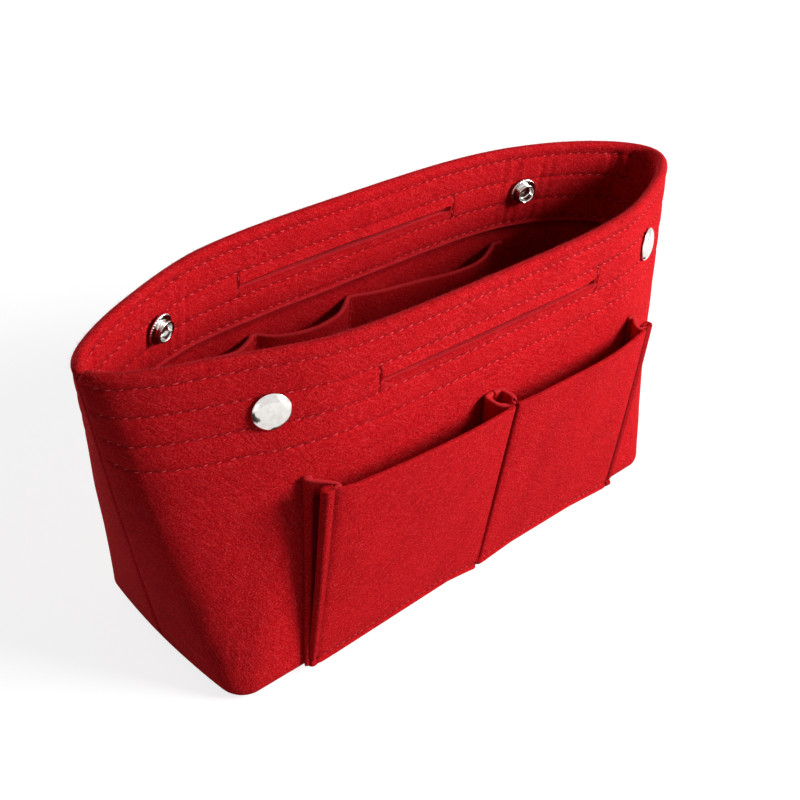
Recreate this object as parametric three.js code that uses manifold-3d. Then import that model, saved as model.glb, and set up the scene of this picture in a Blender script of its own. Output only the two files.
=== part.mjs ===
// A felt organizer insert for a handbag, in millimetres: +X is its length, +Y its back, +Z up.
// The origin is the centre of the flat bottom. The front wall carries two bellows pockets, the back
// wall an inner strip of three pockets, and each wall a hand slit and two snap fasteners.
import * as THREE from "three";
import { mergeVertices } from "three/addons/utils/BufferGeometryUtils.js";
import Module from "manifold-3d";

const wasm = await Module();
wasm.setup();

// Bag body: the width of the bottom and the height are the sizes such an insert is sold by.
const bottomLength = 250;
const bottomWidth = 95;
const bottomCornerRadius = 9;
const bottomEdgeRadius = 6;
const trayLip = 2;
const bagHeight = 150;
const rimLength = 316;
const rimWidth = 92;
const rimTipWidth = 16;
const rimTipDrop = 3;
const rimFullnessPower = 3.5;
const rimDropPower = 4;
const rimTipShare = 0.04;
const rimCornerShare = 0.24;

// Felt and the space left between pieces that touch.
const felt = 2.5;
const pocketFelt = 2;
const gap = 0.3;
const weldDistance = 1e-4;

// Hem: the top of each panel is turned inside and sewn down.
const hemDepth = 42.5;
const firstRowDepth = 5.5;

// Hand slit through wall and hem.
const slitLength = 122;
const slitDepth = 23.5;
const slitOpening = 1.6;

// The leaning planes where the swinging walls end and the fixed sides begin, from the ends of the
// bottom and of the rim.
const wallInsetBelow = 27;
const wallInsetAbove = 40;

// Bellows pockets on the front wall.
const pocketBottom = 4;
const pocketBelowRim = 53;
const pocketEndInset = 2;
const pocketProud = 10.5;
const pocketProudBelow = 3.4;
const pocketFin = 2.5;
const dividerBow = 3;

// Inner pocket strip on the back wall: dividers as shares of the strip's half span.
const stripEndInset = 3;
const stripBottom = 14;
const stripBelowHem = 8.5;
const stripBow = 13;
const stripSewn = 3;
const stripBottomBowShare = 0.15;
const stripDividerShares = [-1, -0.6, -0.02, 1];
const stripBowShares = [0.5, 0.7, 1];

// Snap fasteners.
const snapEndInset = 12;
const snapDepth = 23.5;
const capDiameter = 15;
const capHeight = 3;
const capEdge = 0.8;
const shankDiameter = 5;
const socketDiameter = 12.5;
const socketHeight = 3;
const socketBore = 9;
const socketFloor = 1.2;
const studDiameter = 13;
const studFlange = 1.4;
const studPostDiameter = 8.4;
const studPostHeight = 3.8;
const backCapDiameter = 11;
const backCapHeight = 1.6;

// How finely curves are divided, and how closely a point is found on them.
const rimSamples = 600;
const shareHalvings = 40;
const normalStepShare = 1e-3;
const wallSteps = 24;
const sideSteps = 10;
const trayStraightSteps = 12;
const trayCornerSteps = 5;
const heightSteps = 3;
const hemSteps = 4;
const rollSteps = 6;
const edgeSteps = 4;
const pocketSteps = 10;
const pocketHeightSteps = 4;
const bellySteps = 6;
const curlSteps = 5;
const lathedSides = 18;
const domeSteps = 4;

const trayTop = bottomEdgeRadius + trayLip;
const wallBottom = trayTop + gap;
const hemFace = 2 * felt + gap;
const hemFoot = bagHeight - hemDepth;
const wallHalfLengthBelow = bottomLength / 2 - wallInsetBelow;
const wallHalfLengthAbove = rimLength / 2 - wallInsetAbove;
const pocketHalfSpan = wallHalfLengthBelow - pocketEndInset;
const pocketTop = bagHeight - pocketBelowRim;
const stripHalfSpan = wallHalfLengthBelow - stripEndInset;
const stripTop = hemFoot - stripBelowHem;
const snapHalfSpacing = wallHalfLengthAbove - snapEndInset;
const snapSeat = hemFace + 2 * gap;
const rollRadius = hemFace / 2;
const bottomFlatLength = bottomLength - 2 * bottomCornerRadius;

// Lengths along the front half of the bottom's outline, from the left seam to the middle.
const endRun = bottomWidth / 2 - bottomCornerRadius;
const cornerRun = (Math.PI / 2) * bottomCornerRadius;
const halfRun = endRun + cornerRun + bottomFlatLength / 2;

// Front half of the bottom's outline: a rounded rectangle, by share of its length from left to right.
function bottomOutline(share) {
  const mirrored = share > 0.5;
  let along = (mirrored ? 1 - share : share) * 2 * halfRun;
  const point = new THREE.Vector2();
  if (along < endRun) point.set(-bottomLength / 2, -along);
  else if (along < endRun + cornerRun) {
    const turn = (along - endRun) / bottomCornerRadius;
    point.set(
      -bottomFlatLength / 2 - bottomCornerRadius * Math.cos(turn),
      -endRun - bottomCornerRadius * Math.sin(turn),
    );
  } else {
    along -= endRun + cornerRun;
    point.set(-bottomFlatLength / 2 + along, -bottomWidth / 2);
  }
  if (mirrored) point.x = -point.x;
  return point;
}

// Front half of the rim: a full belly plus a rounded tip, sampled once and read by share of its length.
const rimTable = (() => {
  const tipPower = (2 * rimLength) / rimTipWidth;
  const points = [];
  const lengths = [0];
  for (let i = 0; i <= rimSamples; i++) {
    const u = -Math.cos((Math.PI * i) / rimSamples);
    const belly = (1 - Math.abs(u) ** rimFullnessPower) * (rimWidth - rimTipWidth);
    const tip = Math.sqrt(Math.max(0, 1 - Math.abs(u) ** tipPower)) * rimTipWidth;
    points.push(new THREE.Vector2((u * rimLength) / 2, -(belly + tip) / 2));
    if (i) lengths.push(lengths[i - 1] + points[i].distanceTo(points[i - 1]));
  }
  return { points, lengths };
})();

function rimOutline(share) {
  const { points, lengths } = rimTable;
  const wanted = share * lengths[rimSamples];
  let low = 0;
  let high = rimSamples;
  while (high - low > 1) {
    const middle = (low + high) >> 1;
    if (lengths[middle] <= wanted) low = middle;
    else high = middle;
  }
  const part = (wanted - lengths[low]) / (lengths[high] - lengths[low]);
  return points[low].clone().lerp(points[high], part);
}

// Felt bends one way only, so the rim's tip meets the whole end of the bottom, and a long stretch of
// the rim meets its corner. Between these shares of the rim the bottom's share runs smoothly.
const rimKnotShares = [0, rimTipShare, rimCornerShare, 1 - rimCornerShare, 1 - rimTipShare, 1];
const bottomKnotShares = (() => {
  const corner = endRun / halfRun / 2;
  const front = (endRun + cornerRun) / halfRun / 2;
  return [0, corner, front, 1 - front, 1 - corner, 1];
})();

function bottomShare(rimShare) {
  const last = rimKnotShares.length - 2;
  const slope = (i) =>
    (bottomKnotShares[i + 1] - bottomKnotShares[i]) / (rimKnotShares[i + 1] - rimKnotShares[i]);
  const tangent = (i) => {
    if (i === 0 || i > last) return slope(Math.min(i, last));
    return (2 * slope(i - 1) * slope(i)) / (slope(i - 1) + slope(i));
  };
  const i = Math.min(last, rimKnotShares.findLastIndex((knot) => knot <= rimShare));
  const width = rimKnotShares[i + 1] - rimKnotShares[i];
  const v = (rimShare - rimKnotShares[i]) / width;
  const rise = v * v * (3 - 2 * v);
  return (
    bottomKnotShares[i] * (1 - rise) +
    bottomKnotShares[i + 1] * rise +
    width * v * (1 - v) * ((1 - v) * tangent(i) - v * tangent(i + 1))
  );
}

// Plan point and outward normal of the front half at a height, by share of the rim.
function levelPoint(share, height) {
  return bottomOutline(bottomShare(share)).lerp(rimOutline(share), height / bagHeight);
}

function levelNormal(share, height) {
  const from = levelPoint(Math.max(0, share - normalStepShare), height);
  const to = levelPoint(Math.min(1, share + normalStepShare), height);
  const along = to.sub(from).normalize();
  return new THREE.Vector2(along.y, -along.x);
}

function lowered(x, height) {
  const drop = rimTipDrop * Math.abs((2 * x) / rimLength) ** rimDropPower;
  return height - (drop * height) / bagHeight;
}

// A point of the front half: depth is measured inwards, square to the outer face.
function sidePoint(share, height, depth) {
  const p = levelPoint(share, height).addScaledVector(levelNormal(share, height), -depth);
  return new THREE.Vector3(p.x, p.y, lowered(p.x, height));
}

function shareAt(x, height) {
  let low = 0;
  let high = 1;
  for (let i = 0; i < shareHalvings; i++) {
    const middle = (low + high) / 2;
    if (levelPoint(middle, height).x < x) low = middle;
    else high = middle;
  }
  return (low + high) / 2;
}

// The same point found by its x, with the depth taken along Y, so that a cut at x stays plane.
function wallPoint(x, height, depth) {
  const share = shareAt(x, height);
  const run = depth / Math.abs(levelNormal(share, height).y);
  return new THREE.Vector3(x, levelPoint(share, height).y + run, lowered(x, height));
}

function wallEnd(height) {
  const share = (height - trayTop) / (bagHeight - trayTop);
  return wallHalfLengthBelow + (wallHalfLengthAbove - wallHalfLengthBelow) * share;
}

// Solids are lofted through rings that have the same number of points. A ring runs up one side of
// its section and down the other, and keys give how far up each point lies, for the two end caps.
function loft(rings, keys) {
  const count = rings[0].length;
  const positions = rings.flat().flatMap((p) => [p.x, p.y, p.z]);
  const faces = [];
  for (let i = 0; i + 1 < rings.length; i++) faces.push(...skin(i * count, (i + 1) * count, count));
  const last = (rings.length - 1) * count;
  for (const [a, b, c] of capFaces(keys)) faces.push([c, b, a], [last + a, last + b, last + c]);
  return closedGeometry(positions, faces);
}

function skin(lower, upper, count) {
  const faces = [];
  for (let j = 0; j < count; j++) {
    const next = (j + 1) % count;
    faces.push([lower + j, lower + next, upper + next], [lower + j, upper + next, upper + j]);
  }
  return faces;
}

// Zips the rising side of a section to its falling side with triangles.
function capFaces(keys) {
  const top = keys.indexOf(Math.max(...keys));
  const falling = (j) => (j === 0 ? keys.length - 1 : keys.length - 1 - j);
  const faces = [];
  let i = 0;
  let j = 0;
  while (i < top || falling(j) > top) {
    const rise = i < top && (falling(j) === top || keys[i + 1] <= keys[falling(j + 1)]);
    const face = rise ? [i, i + 1, falling(j)] : [i, falling(j + 1), falling(j)];
    if (new Set(face).size === 3) faces.push(face);
    if (rise) i++;
    else j++;
  }
  return faces;
}

// Turns every face round when the solid came out inside out.
function closedGeometry(positions, faces) {
  const corner = (i) => new THREE.Vector3().fromArray(positions, 3 * i);
  let volume = 0;
  for (const [a, b, c] of faces) volume += corner(a).dot(corner(b).cross(corner(c)));
  const facing = volume < 0 ? faces.map(([a, b, c]) => [a, c, b]) : faces;
  const geometry = new THREE.BufferGeometry();
  geometry.setAttribute("position", new THREE.Float32BufferAttribute(positions, 3));
  geometry.setIndex(facing.flat());
  return geometry;
}

function mirroredInY(geometry) {
  const positions = Array.from(geometry.attributes.position.array);
  for (let i = 1; i < positions.length; i += 3) positions[i] = -positions[i];
  const index = geometry.index.array;
  const faces = [];
  for (let i = 0; i < index.length; i += 3) faces.push([index[i], index[i + 1], index[i + 2]]);
  return closedGeometry(positions, faces);
}

function mirroredInX(geometry) {
  return mirroredInY(geometry.clone().rotateZ(Math.PI));
}

// Joins the vertices that a primitive repeats along its seams, and drops the faces that collapse.
function welded(geometry) {
  geometry.deleteAttribute("normal");
  geometry.deleteAttribute("uv");
  const merged = mergeVertices(geometry, weldDistance);
  const faces = [];
  const index = merged.index.array;
  for (let i = 0; i < index.length; i += 3) {
    const face = [index[i], index[i + 1], index[i + 2]];
    if (new Set(face).size === 3) faces.push(face);
  }
  return closedGeometry(Array.from(merged.attributes.position.array), faces);
}

function toSolid(geometry) {
  return new wasm.Manifold(
    new wasm.Mesh({
      numProp: 3,
      vertProperties: new Float32Array(geometry.attributes.position.array),
      triVerts: new Uint32Array(geometry.index.array),
    }),
  );
}

function cut(geometry, tools) {
  let solid = toSolid(geometry);
  for (const tool of tools) solid = solid.subtract(toSolid(tool));
  const mesh = solid.getMesh();
  const result = new THREE.BufferGeometry();
  result.setAttribute("position", new THREE.Float32BufferAttribute(mesh.vertProperties, 3));
  result.setIndex(new THREE.Uint32BufferAttribute(mesh.triVerts, 1));
  return result;
}

function steps(from, to, count) {
  return Array.from({ length: count + 1 }, (_, i) => from + ((to - from) * i) / count);
}

// Section of a wall as [height, depth]: up the outer face, over the rolled rim, down to the first row
// of stitches, and down the back of the felt.
function wallSection() {
  const springing = bagHeight - rollRadius;
  const turned = bagHeight - firstRowDepth;
  const levels = [...steps(wallBottom, hemFoot, heightSteps), ...steps(hemFoot, turned, hemSteps).slice(1)];
  const outer = [...levels.slice(0, -1), turned + gap, springing].map((k) => [k, 0]);
  const roll = steps(0, Math.PI, rollSteps)
    .slice(1)
    .map((turn) => [springing + rollRadius * Math.sin(turn), rollRadius * (1 - Math.cos(turn))]);
  const inner = levels.toReversed().map((k) => [k, felt]);
  return [...outer, ...roll, [turned + 2 * gap, hemFace], ...inner];
}

function hemSection() {
  const levels = steps(hemFoot, bagHeight - firstRowDepth - gap, hemSteps);
  const face = levels.map((k) => [k, felt + gap]);
  const back = levels.toReversed().map((k) => [k, hemFace]);
  return [...face, ...back];
}

function heightsOf(section) {
  return section.map(([k]) => k);
}

// A front wall piece between the two leaning cut planes.
function wallPiece(section) {
  const rings = steps(-1, 1, wallSteps).map((u) =>
    section.map(([k, d]) => wallPoint(u * wallEnd(k), k, d)),
  );
  return loft(rings, heightsOf(section));
}

// A left front side piece from the middle seam of the end to the leaning cut plane, with its rings
// closer together where the end turns fastest, at the seam.
function sidePiece(section) {
  const rings = steps(0, 1, sideSteps).map((part) =>
    section.map(([k, d]) => {
      const end = -wallEnd(k) - gap;
      if (part === 1) return wallPoint(end, k, d);
      const p = sidePoint(part ** 2 * shareAt(end, k), k, d);
      if (part === 0) p.y = -gap / 2;
      return p;
    }),
  );
  return loft(rings, heightsOf(section));
}

// The bottom tray: its edge turns up into the walls with a round of bottomEdgeRadius.
function trayGeometry() {
  const corner = [0, ...steps(rimTipShare, rimCornerShare, trayCornerSteps)];
  const straight = steps(rimCornerShare, 1 - rimCornerShare, trayStraightSteps).slice(1, -1);
  const shares = [...corner, ...straight, ...corner.toReversed().map((share) => 1 - share)];
  const loop = (height, depth) => {
    const front = shares.map((s) => sidePoint(s, height, depth));
    front[0].y = 0;
    front[front.length - 1].y = 0;
    const back = front
      .slice(1, -1)
      .reverse()
      .map((p) => new THREE.Vector3(p.x, -p.y, p.z));
    return [...front, ...back];
  };
  const rounded = (radius, turn) => [
    bottomEdgeRadius - radius * Math.cos(turn),
    bottomEdgeRadius - radius * Math.sin(turn),
  ];
  const turns = steps(Math.PI / 2, 0, edgeSteps);
  const outer = turns.map((turn) => rounded(bottomEdgeRadius, turn));
  const inner = turns.map((turn) => rounded(bottomEdgeRadius - felt, turn)).reverse();
  const section = [...outer, [0, trayTop], [felt, trayTop], ...inner];
  const loops = section.map(([depth, height]) => loop(height, depth));
  const count = loops[0].length;
  const points = loops.flat();
  const faces = [];
  for (let i = 0; i + 1 < loops.length; i++) faces.push(...skin(i * count, (i + 1) * count, count));
  const below = points.push(new THREE.Vector3()) - 1;
  const above = points.push(new THREE.Vector3(0, 0, felt)) - 1;
  const last = (loops.length - 1) * count;
  for (let j = 0; j < count; j++) {
    const next = (j + 1) % count;
    faces.push([next, j, below], [last + j, last + next, above]);
  }
  return closedGeometry(
    points.flatMap((p) => [p.x, p.y, p.z]),
    faces,
  );
}

// How far a pocket's outer face stands off the wall, from its sewn bottom to its open top.
function pocketStandOff(height) {
  const share = (height - pocketBottom) / (pocketTop - pocketBottom);
  return pocketProudBelow + (pocketProud - pocketProudBelow) * share;
}

function pocketPanel() {
  const innerEnd = gap / 2 + pocketFelt + gap;
  const outerEnd = pocketHalfSpan - pocketFelt - gap;
  const heights = steps(pocketBottom, pocketTop, pocketHeightSteps);
  const section = [
    ...heights.map((k) => [k, 0]),
    ...heights.map((k) => [k, pocketFelt]).reverse(),
  ];
  const rings = steps(-outerEnd, -innerEnd, pocketSteps).map((x) =>
    section.map(([k, d]) => wallPoint(x, k, d - pocketStandOff(k))),
  );
  return loft(rings, heightsOf(section));
}

// A gusset runs out from the wall, bows aside by up to bow, and ends in a fin past the panel.
// Its plan outline is stacked from the pocket's bottom to its top. side is +1 or -1 along X.
function gusset(foot, side, bow) {
  const heights = steps(pocketBottom, pocketTop, pocketHeightSteps);
  const outline = (k) => {
    const share = (k - pocketBottom) / (pocketTop - pocketBottom);
    const inside = gap;
    const seat = pocketStandOff(k) - pocketFelt;
    const tip = pocketStandOff(k) + pocketFin;
    const face = (offset) => {
      const run = steps(0, 1, bellySteps).map((v) => {
        const aside = offset + share * bow * Math.sin(Math.PI * v);
        return [foot + side * aside, inside + (seat - inside) * v];
      });
      return [...run, [foot + side * offset, tip]];
    };
    return [...face(0), ...face(pocketFelt).reverse()];
  };
  const rings = heights.map((k) => outline(k).map(([x, out]) => wallPoint(x, k, -out)));
  const keys = outline(pocketTop).map(([, out]) => out);
  return loft(rings, keys);
}

// Path of the inner strip in plan as [x, stand-off share]: each pocket leaves the wall gently on the
// left and curls back to it on the right, with a flat sewn stretch at every divider.
function stripPath() {
  const path = [];
  const dividers = stripDividerShares.map((share) => share * stripHalfSpan);
  dividers.forEach((divider, i) => {
    path.push([divider - stripSewn / 2, 0], [divider + stripSewn / 2, 0]);
    if (i + 1 === dividers.length) return;
    const bow = stripBowShares[i];
    const from = divider + stripSewn / 2;
    const curl = (stripBow * bow) / 2;
    const shoulder = dividers[i + 1] - stripSewn / 2 - curl;
    for (const v of steps(0, 1, bellySteps).slice(1))
      path.push([from + (shoulder - from) * v, bow * Math.sin((Math.PI / 2) * v)]);
    for (const turn of steps(0, Math.PI / 2, curlSteps).slice(1, -1))
      path.push([shoulder + curl * Math.sin(turn), bow * Math.cos(turn)]);
  });
  return path;
}

// The strip's bow grows from its sewn bottom edge to its open top.
function stripBowAt(height) {
  const share = (height - stripBottom) / (stripTop - stripBottom);
  return stripBow * (stripBottomBowShare + (1 - stripBottomBowShare) * Math.sin((Math.PI / 2) * share));
}

// Both faces of the strip at one height: points square to its path, half a felt to each side.
function stripLevel(path, height) {
  const seat = felt + 2 * gap + pocketFelt / 2;
  const middle = path.map(([x, part]) => wallPoint(x, height, seat + stripBowAt(height) * part));
  return middle.map((p, i) => {
    const before = middle[Math.max(0, i - 1)];
    const after = middle[Math.min(middle.length - 1, i + 1)];
    const along = new THREE.Vector2(after.x - before.x, after.y - before.y).normalize();
    const across = new THREE.Vector3(along.y, -along.x, 0).multiplyScalar(pocketFelt / 2);
    return { outer: p.clone().add(across), inner: p.clone().sub(across) };
  });
}

function innerStrip() {
  const path = stripPath();
  const heights = steps(stripBottom, stripTop, pocketHeightSteps);
  const levels = heights.map((k) => stripLevel(path, k));
  const rings = path.map((_, i) => {
    const outer = levels.map((level) => level[i].outer);
    const inner = levels.map((level) => level[i].inner);
    return [...outer, ...inner.reverse()];
  });
  return loft(rings, [...heights, ...heights.toReversed()]);
}

// Snap fasteners: local +Z points out of the front wall's outer face, which is at local zero.
function lathed(profile) {
  const points = profile.map(([r, z]) => new THREE.Vector2(r, z));
  return welded(new THREE.LatheGeometry(points, lathedSides).rotateX(Math.PI / 2));
}

function dome(radius, foot, height) {
  return steps(0, Math.PI / 2, domeSteps).map((turn) => [
    radius * Math.cos(turn),
    foot + height * Math.sin(turn),
  ]);
}

function capProfile(diameter, height, edge, shankEnd) {
  const crown = dome(diameter / 2, gap + edge, height - edge);
  crown[crown.length - 1][0] = 0;
  return [
    [0, shankEnd],
    [shankDiameter / 2, shankEnd],
    [shankDiameter / 2, gap],
    [diameter / 2, gap],
    ...crown,
  ];
}

function frontCap() {
  return lathed(capProfile(capDiameter, capHeight, capEdge, -snapSeat - socketFloor));
}

function backCap() {
  const edge = (backCapHeight * capEdge) / capHeight;
  return lathed(capProfile(backCapDiameter, backCapHeight, edge, -snapSeat - studFlange));
}

function socket() {
  const foot = -snapSeat;
  const hole = shankDiameter / 2 + gap;
  return lathed([
    [hole, foot],
    [socketDiameter / 2, foot],
    [socketDiameter / 2, foot - socketHeight],
    [socketBore / 2, foot - socketHeight],
    [socketBore / 2, foot - socketFloor],
    [hole, foot - socketFloor],
    [hole, foot],
  ]);
}

function stud() {
  const foot = -snapSeat;
  const hole = shankDiameter / 2 + gap;
  return lathed([
    [hole, foot],
    [studDiameter / 2, foot],
    [studDiameter / 2, foot - studFlange],
    [studPostDiameter / 2, foot - studFlange],
    [studPostDiameter / 2, foot - studPostHeight],
    [hole, foot - studPostHeight],
    [hole, foot],
  ]);
}

// Where a snap sits on the front wall, as a matrix with +Z along the wall's outward normal.
function snapFrame(x) {
  const height = bagHeight - snapDepth;
  const at = wallPoint(x, height, 0);
  const right = wallPoint(x + gap, height, 0).sub(at);
  const up = wallPoint(x, height + gap, 0).sub(at);
  const out = right.clone().cross(up).normalize();
  const turn = new THREE.Quaternion().setFromUnitVectors(new THREE.Vector3(0, 0, 1), out);
  return new THREE.Matrix4().compose(at, turn, new THREE.Vector3(1, 1, 1));
}

function placedSnap(geometry, x) {
  return geometry.clone().applyMatrix4(snapFrame(x));
}

function snapHole(x) {
  const length = 4 * hemFace;
  const tool = new THREE.CylinderGeometry(
    shankDiameter / 2 + gap,
    shankDiameter / 2 + gap,
    length,
    lathedSides,
  );
  return welded(tool.rotateX(Math.PI / 2)).applyMatrix4(snapFrame(x));
}

function slitTool() {
  const reach = bottomWidth;
  const tool = new THREE.BoxGeometry(slitLength, reach, slitOpening);
  return welded(tool).translate(0, -reach / 2 - rimTipWidth / 2, bagHeight - slitDepth);
}

const feltMaterial = new THREE.MeshStandardMaterial({ color: 0xc41c26, roughness: 0.95 });
const nickelMaterial = new THREE.MeshStandardMaterial({
  color: 0xd8d6d2,
  roughness: 0.22,
  metalness: 1,
});

const organizer = new THREE.Group();

function add(parent, name, geometry, material) {
  const mesh = new THREE.Mesh(geometry, material);
  mesh.name = name;
  mesh.geometry.computeVertexNormals();
  parent.add(mesh);
}

// Base and the fixed sides.
const base = new THREE.Group();
add(base, "base_panel", trayGeometry(), feltMaterial);
const side = sidePiece(wallSection());
const sideHem = sidePiece(hemSection());
for (const [name, geometry] of [
  ["side", side],
  ["side_hem", sideHem],
]) {
  add(base, `left_front_${name}`, geometry, feltMaterial);
  add(base, `left_back_${name}`, mirroredInY(geometry), feltMaterial);
  add(base, `right_front_${name}`, mirroredInX(geometry), feltMaterial);
  add(base, `right_back_${name}`, mirroredInX(mirroredInY(geometry)), feltMaterial);
}
organizer.add(base);

// Front and back walls with their hems, slit and snap holes.
const holes = [slitTool(), snapHole(-snapHalfSpacing), snapHole(snapHalfSpacing)];
const wall = cut(wallPiece(wallSection()), holes);
const hem = cut(wallPiece(hemSection()), holes);
const frontWall = new THREE.Group();
const backWall = new THREE.Group();
add(frontWall, "front_wall", wall, feltMaterial);
add(frontWall, "front_hem", hem, feltMaterial);
add(backWall, "back_wall", mirroredInY(wall), feltMaterial);
add(backWall, "back_hem", mirroredInY(hem), feltMaterial);
add(backWall, "inner_pocket_strip", mirroredInY(innerStrip()), feltMaterial);

// Snap fasteners: caps and sockets in front, studs and their back caps behind.
for (const [hand, x] of [
  ["left", -snapHalfSpacing],
  ["right", snapHalfSpacing],
]) {
  add(frontWall, `${hand}_snap_cap`, placedSnap(frontCap(), x), nickelMaterial);
  add(frontWall, `${hand}_snap_socket`, placedSnap(socket(), x), nickelMaterial);
  add(backWall, `${hand}_snap_stud`, mirroredInY(placedSnap(stud(), x)), nickelMaterial);
  add(backWall, `${hand}_snap_post`, mirroredInY(placedSnap(backCap(), x)), nickelMaterial);
}

// Bellows pockets: each panel swings at its bottom seam, between two gussets.
const outerGusset = gusset(-pocketHalfSpan, 1, 0);
const innerGusset = gusset(-gap / 2, -1, dividerBow);
const panel = pocketPanel();
add(frontWall, "left_pocket_outer_gusset", outerGusset, feltMaterial);
add(frontWall, "left_pocket_inner_gusset", innerGusset, feltMaterial);
add(frontWall, "right_pocket_outer_gusset", mirroredInX(outerGusset), feltMaterial);
add(frontWall, "right_pocket_inner_gusset", mirroredInX(innerGusset), feltMaterial);
add(frontWall, "left_pocket_panel", panel, feltMaterial);
add(frontWall, "right_pocket_panel", mirroredInX(panel), feltMaterial);
organizer.add(frontWall, backWall);

export default organizer;
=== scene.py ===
"""Felt organizer insert for a handbag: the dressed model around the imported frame.

Every length is in metres and in the frame of the solids: +X is the length, +Y the back, +Z up, and the
origin is the centre of the flat bottom. Each sub-assembly is a class whose fields are its sizes. Felt
surfaces are grids of two parameters worked out as whole numpy arrays.
"""
import logging
from dataclasses import dataclass, field, replace
from enum import Enum, IntEnum
from typing import Callable, Iterable, Sequence

import bpy
import numpy as np
from mathutils import Matrix, Vector


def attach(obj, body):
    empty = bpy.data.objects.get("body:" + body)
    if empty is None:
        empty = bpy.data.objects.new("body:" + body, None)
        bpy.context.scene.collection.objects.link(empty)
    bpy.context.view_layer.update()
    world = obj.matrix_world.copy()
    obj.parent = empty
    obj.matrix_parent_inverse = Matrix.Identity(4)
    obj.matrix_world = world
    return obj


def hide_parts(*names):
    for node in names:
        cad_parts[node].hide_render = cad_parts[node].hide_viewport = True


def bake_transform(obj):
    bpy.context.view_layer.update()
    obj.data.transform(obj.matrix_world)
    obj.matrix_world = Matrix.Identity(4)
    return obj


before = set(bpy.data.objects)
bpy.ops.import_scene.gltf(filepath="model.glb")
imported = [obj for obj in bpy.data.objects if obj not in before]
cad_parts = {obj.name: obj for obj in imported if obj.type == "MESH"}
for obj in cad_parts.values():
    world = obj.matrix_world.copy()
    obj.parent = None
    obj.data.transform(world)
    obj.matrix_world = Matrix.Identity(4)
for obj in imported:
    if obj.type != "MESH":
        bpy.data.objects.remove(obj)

LOG = logging.getLogger("organizer")
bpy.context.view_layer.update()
MM = 1e-3
Array = np.ndarray
Colour = tuple[float, float, float]
Piece = bpy.types.Object
Socket = bpy.types.NodeSocket
Tree = bpy.types.NodeTree


# ---- Small tools ----


def linear(red: int, green: int, blue: int) -> Colour:
    """Turns a screen colour of 0 to 255 into linear light.

    Args:
        red, green, blue: the colour as a screen shows it.

    Returns:
        The linear colour, each part 0 to 1.
    """
    parts = np.array([red, green, blue]) / 255.0
    light = np.where(parts <= 0.04045, parts / 12.92, ((parts + 0.055) / 1.055) ** 2.4)
    return tuple(float(v) for v in light)


def smooth(t: Array) -> Array:
    """Smoothstep: 3t^2 - 2t^3 with t held to 0..1."""
    t = np.clip(t, 0.0, 1.0)
    return t * t * (3.0 - 2.0 * t)


def bump(t: Array) -> Array:
    """A bell: exp(-t^2)."""
    return np.exp(-np.square(t))


def unit(v: Array) -> Array:
    """Scales vectors, which lie along the last axis, to length 1."""
    return v / np.linalg.norm(v, axis=-1, keepdims=True)


def run_along(path: Array) -> Array:
    """Length along a path at each of its points, 0 at the first."""
    return np.concatenate([[0], np.cumsum(np.linalg.norm(np.diff(path, axis=0), axis=1))])


def read_at(where: Array, run: Array, table: Array) -> Array:
    """Reads a table of three columns, one row for each length in run, at other lengths."""
    return np.stack([np.interp(where, run, table[:, k]) for k in range(3)], axis=-1)


def spline(knots: Array, at: Array) -> Array:
    """Reads a smooth curve through knots (Catmull-Rom, the ends repeated by reflection).

    Args:
        knots: points, one a row; any number of columns.
        at: where to read, 0 at the first knot to 1 at the last.

    Returns:
        The curve's points, one a row.
    """
    knots = np.asarray(knots, float)
    ends = np.vstack([2 * knots[0] - knots[1], knots, 2 * knots[-1] - knots[-2]])
    spot = np.clip(at, 0.0, 1.0) * (len(knots) - 1)
    i = np.minimum(spot.astype(int), len(knots) - 2)
    t = (spot - i)[..., None]
    a, b, c, d = (ends[i + k] for k in range(4))
    return 0.5 * (2 * b + (c - a) * t + (2 * a - 5 * b + 4 * c - d) * t**2 + (3 * b - a - 3 * c + d) * t**3)


class Swell:
    """Slow unevenness of hand-sewn felt: a sum of plane waves with seeded directions and phases."""

    GAIN = 1.6

    def __init__(self, seed: int, longest: float, shortest: float, waves: int = 9) -> None:
        """Draws the waves.

        Args:
            seed: fixes the draw.
            longest, shortest: range of the wave lengths.
            waves: how many are added.
        """
        draw = np.random.default_rng(seed)
        length = np.exp(draw.uniform(np.log(shortest), np.log(longest), waves))
        turn = draw.uniform(0, 2 * np.pi, waves)
        self.kx = 2 * np.pi / length * np.cos(turn)
        self.kz = 2 * np.pi / length * np.sin(turn)
        self.phase = draw.uniform(0, 2 * np.pi, waves)
        self.weight = length / length.sum()

    def __call__(self, along: Array, up: Array) -> Array:
        """Height of the swell, about -1 to 1, over lengths along and up the felt."""
        along, up = np.broadcast_arrays(along, up)
        wave = np.sin(along[..., None] * self.kx + up[..., None] * self.kz + self.phase)
        return wave @ self.weight * self.GAIN


# ---- Mesh making ----


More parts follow.
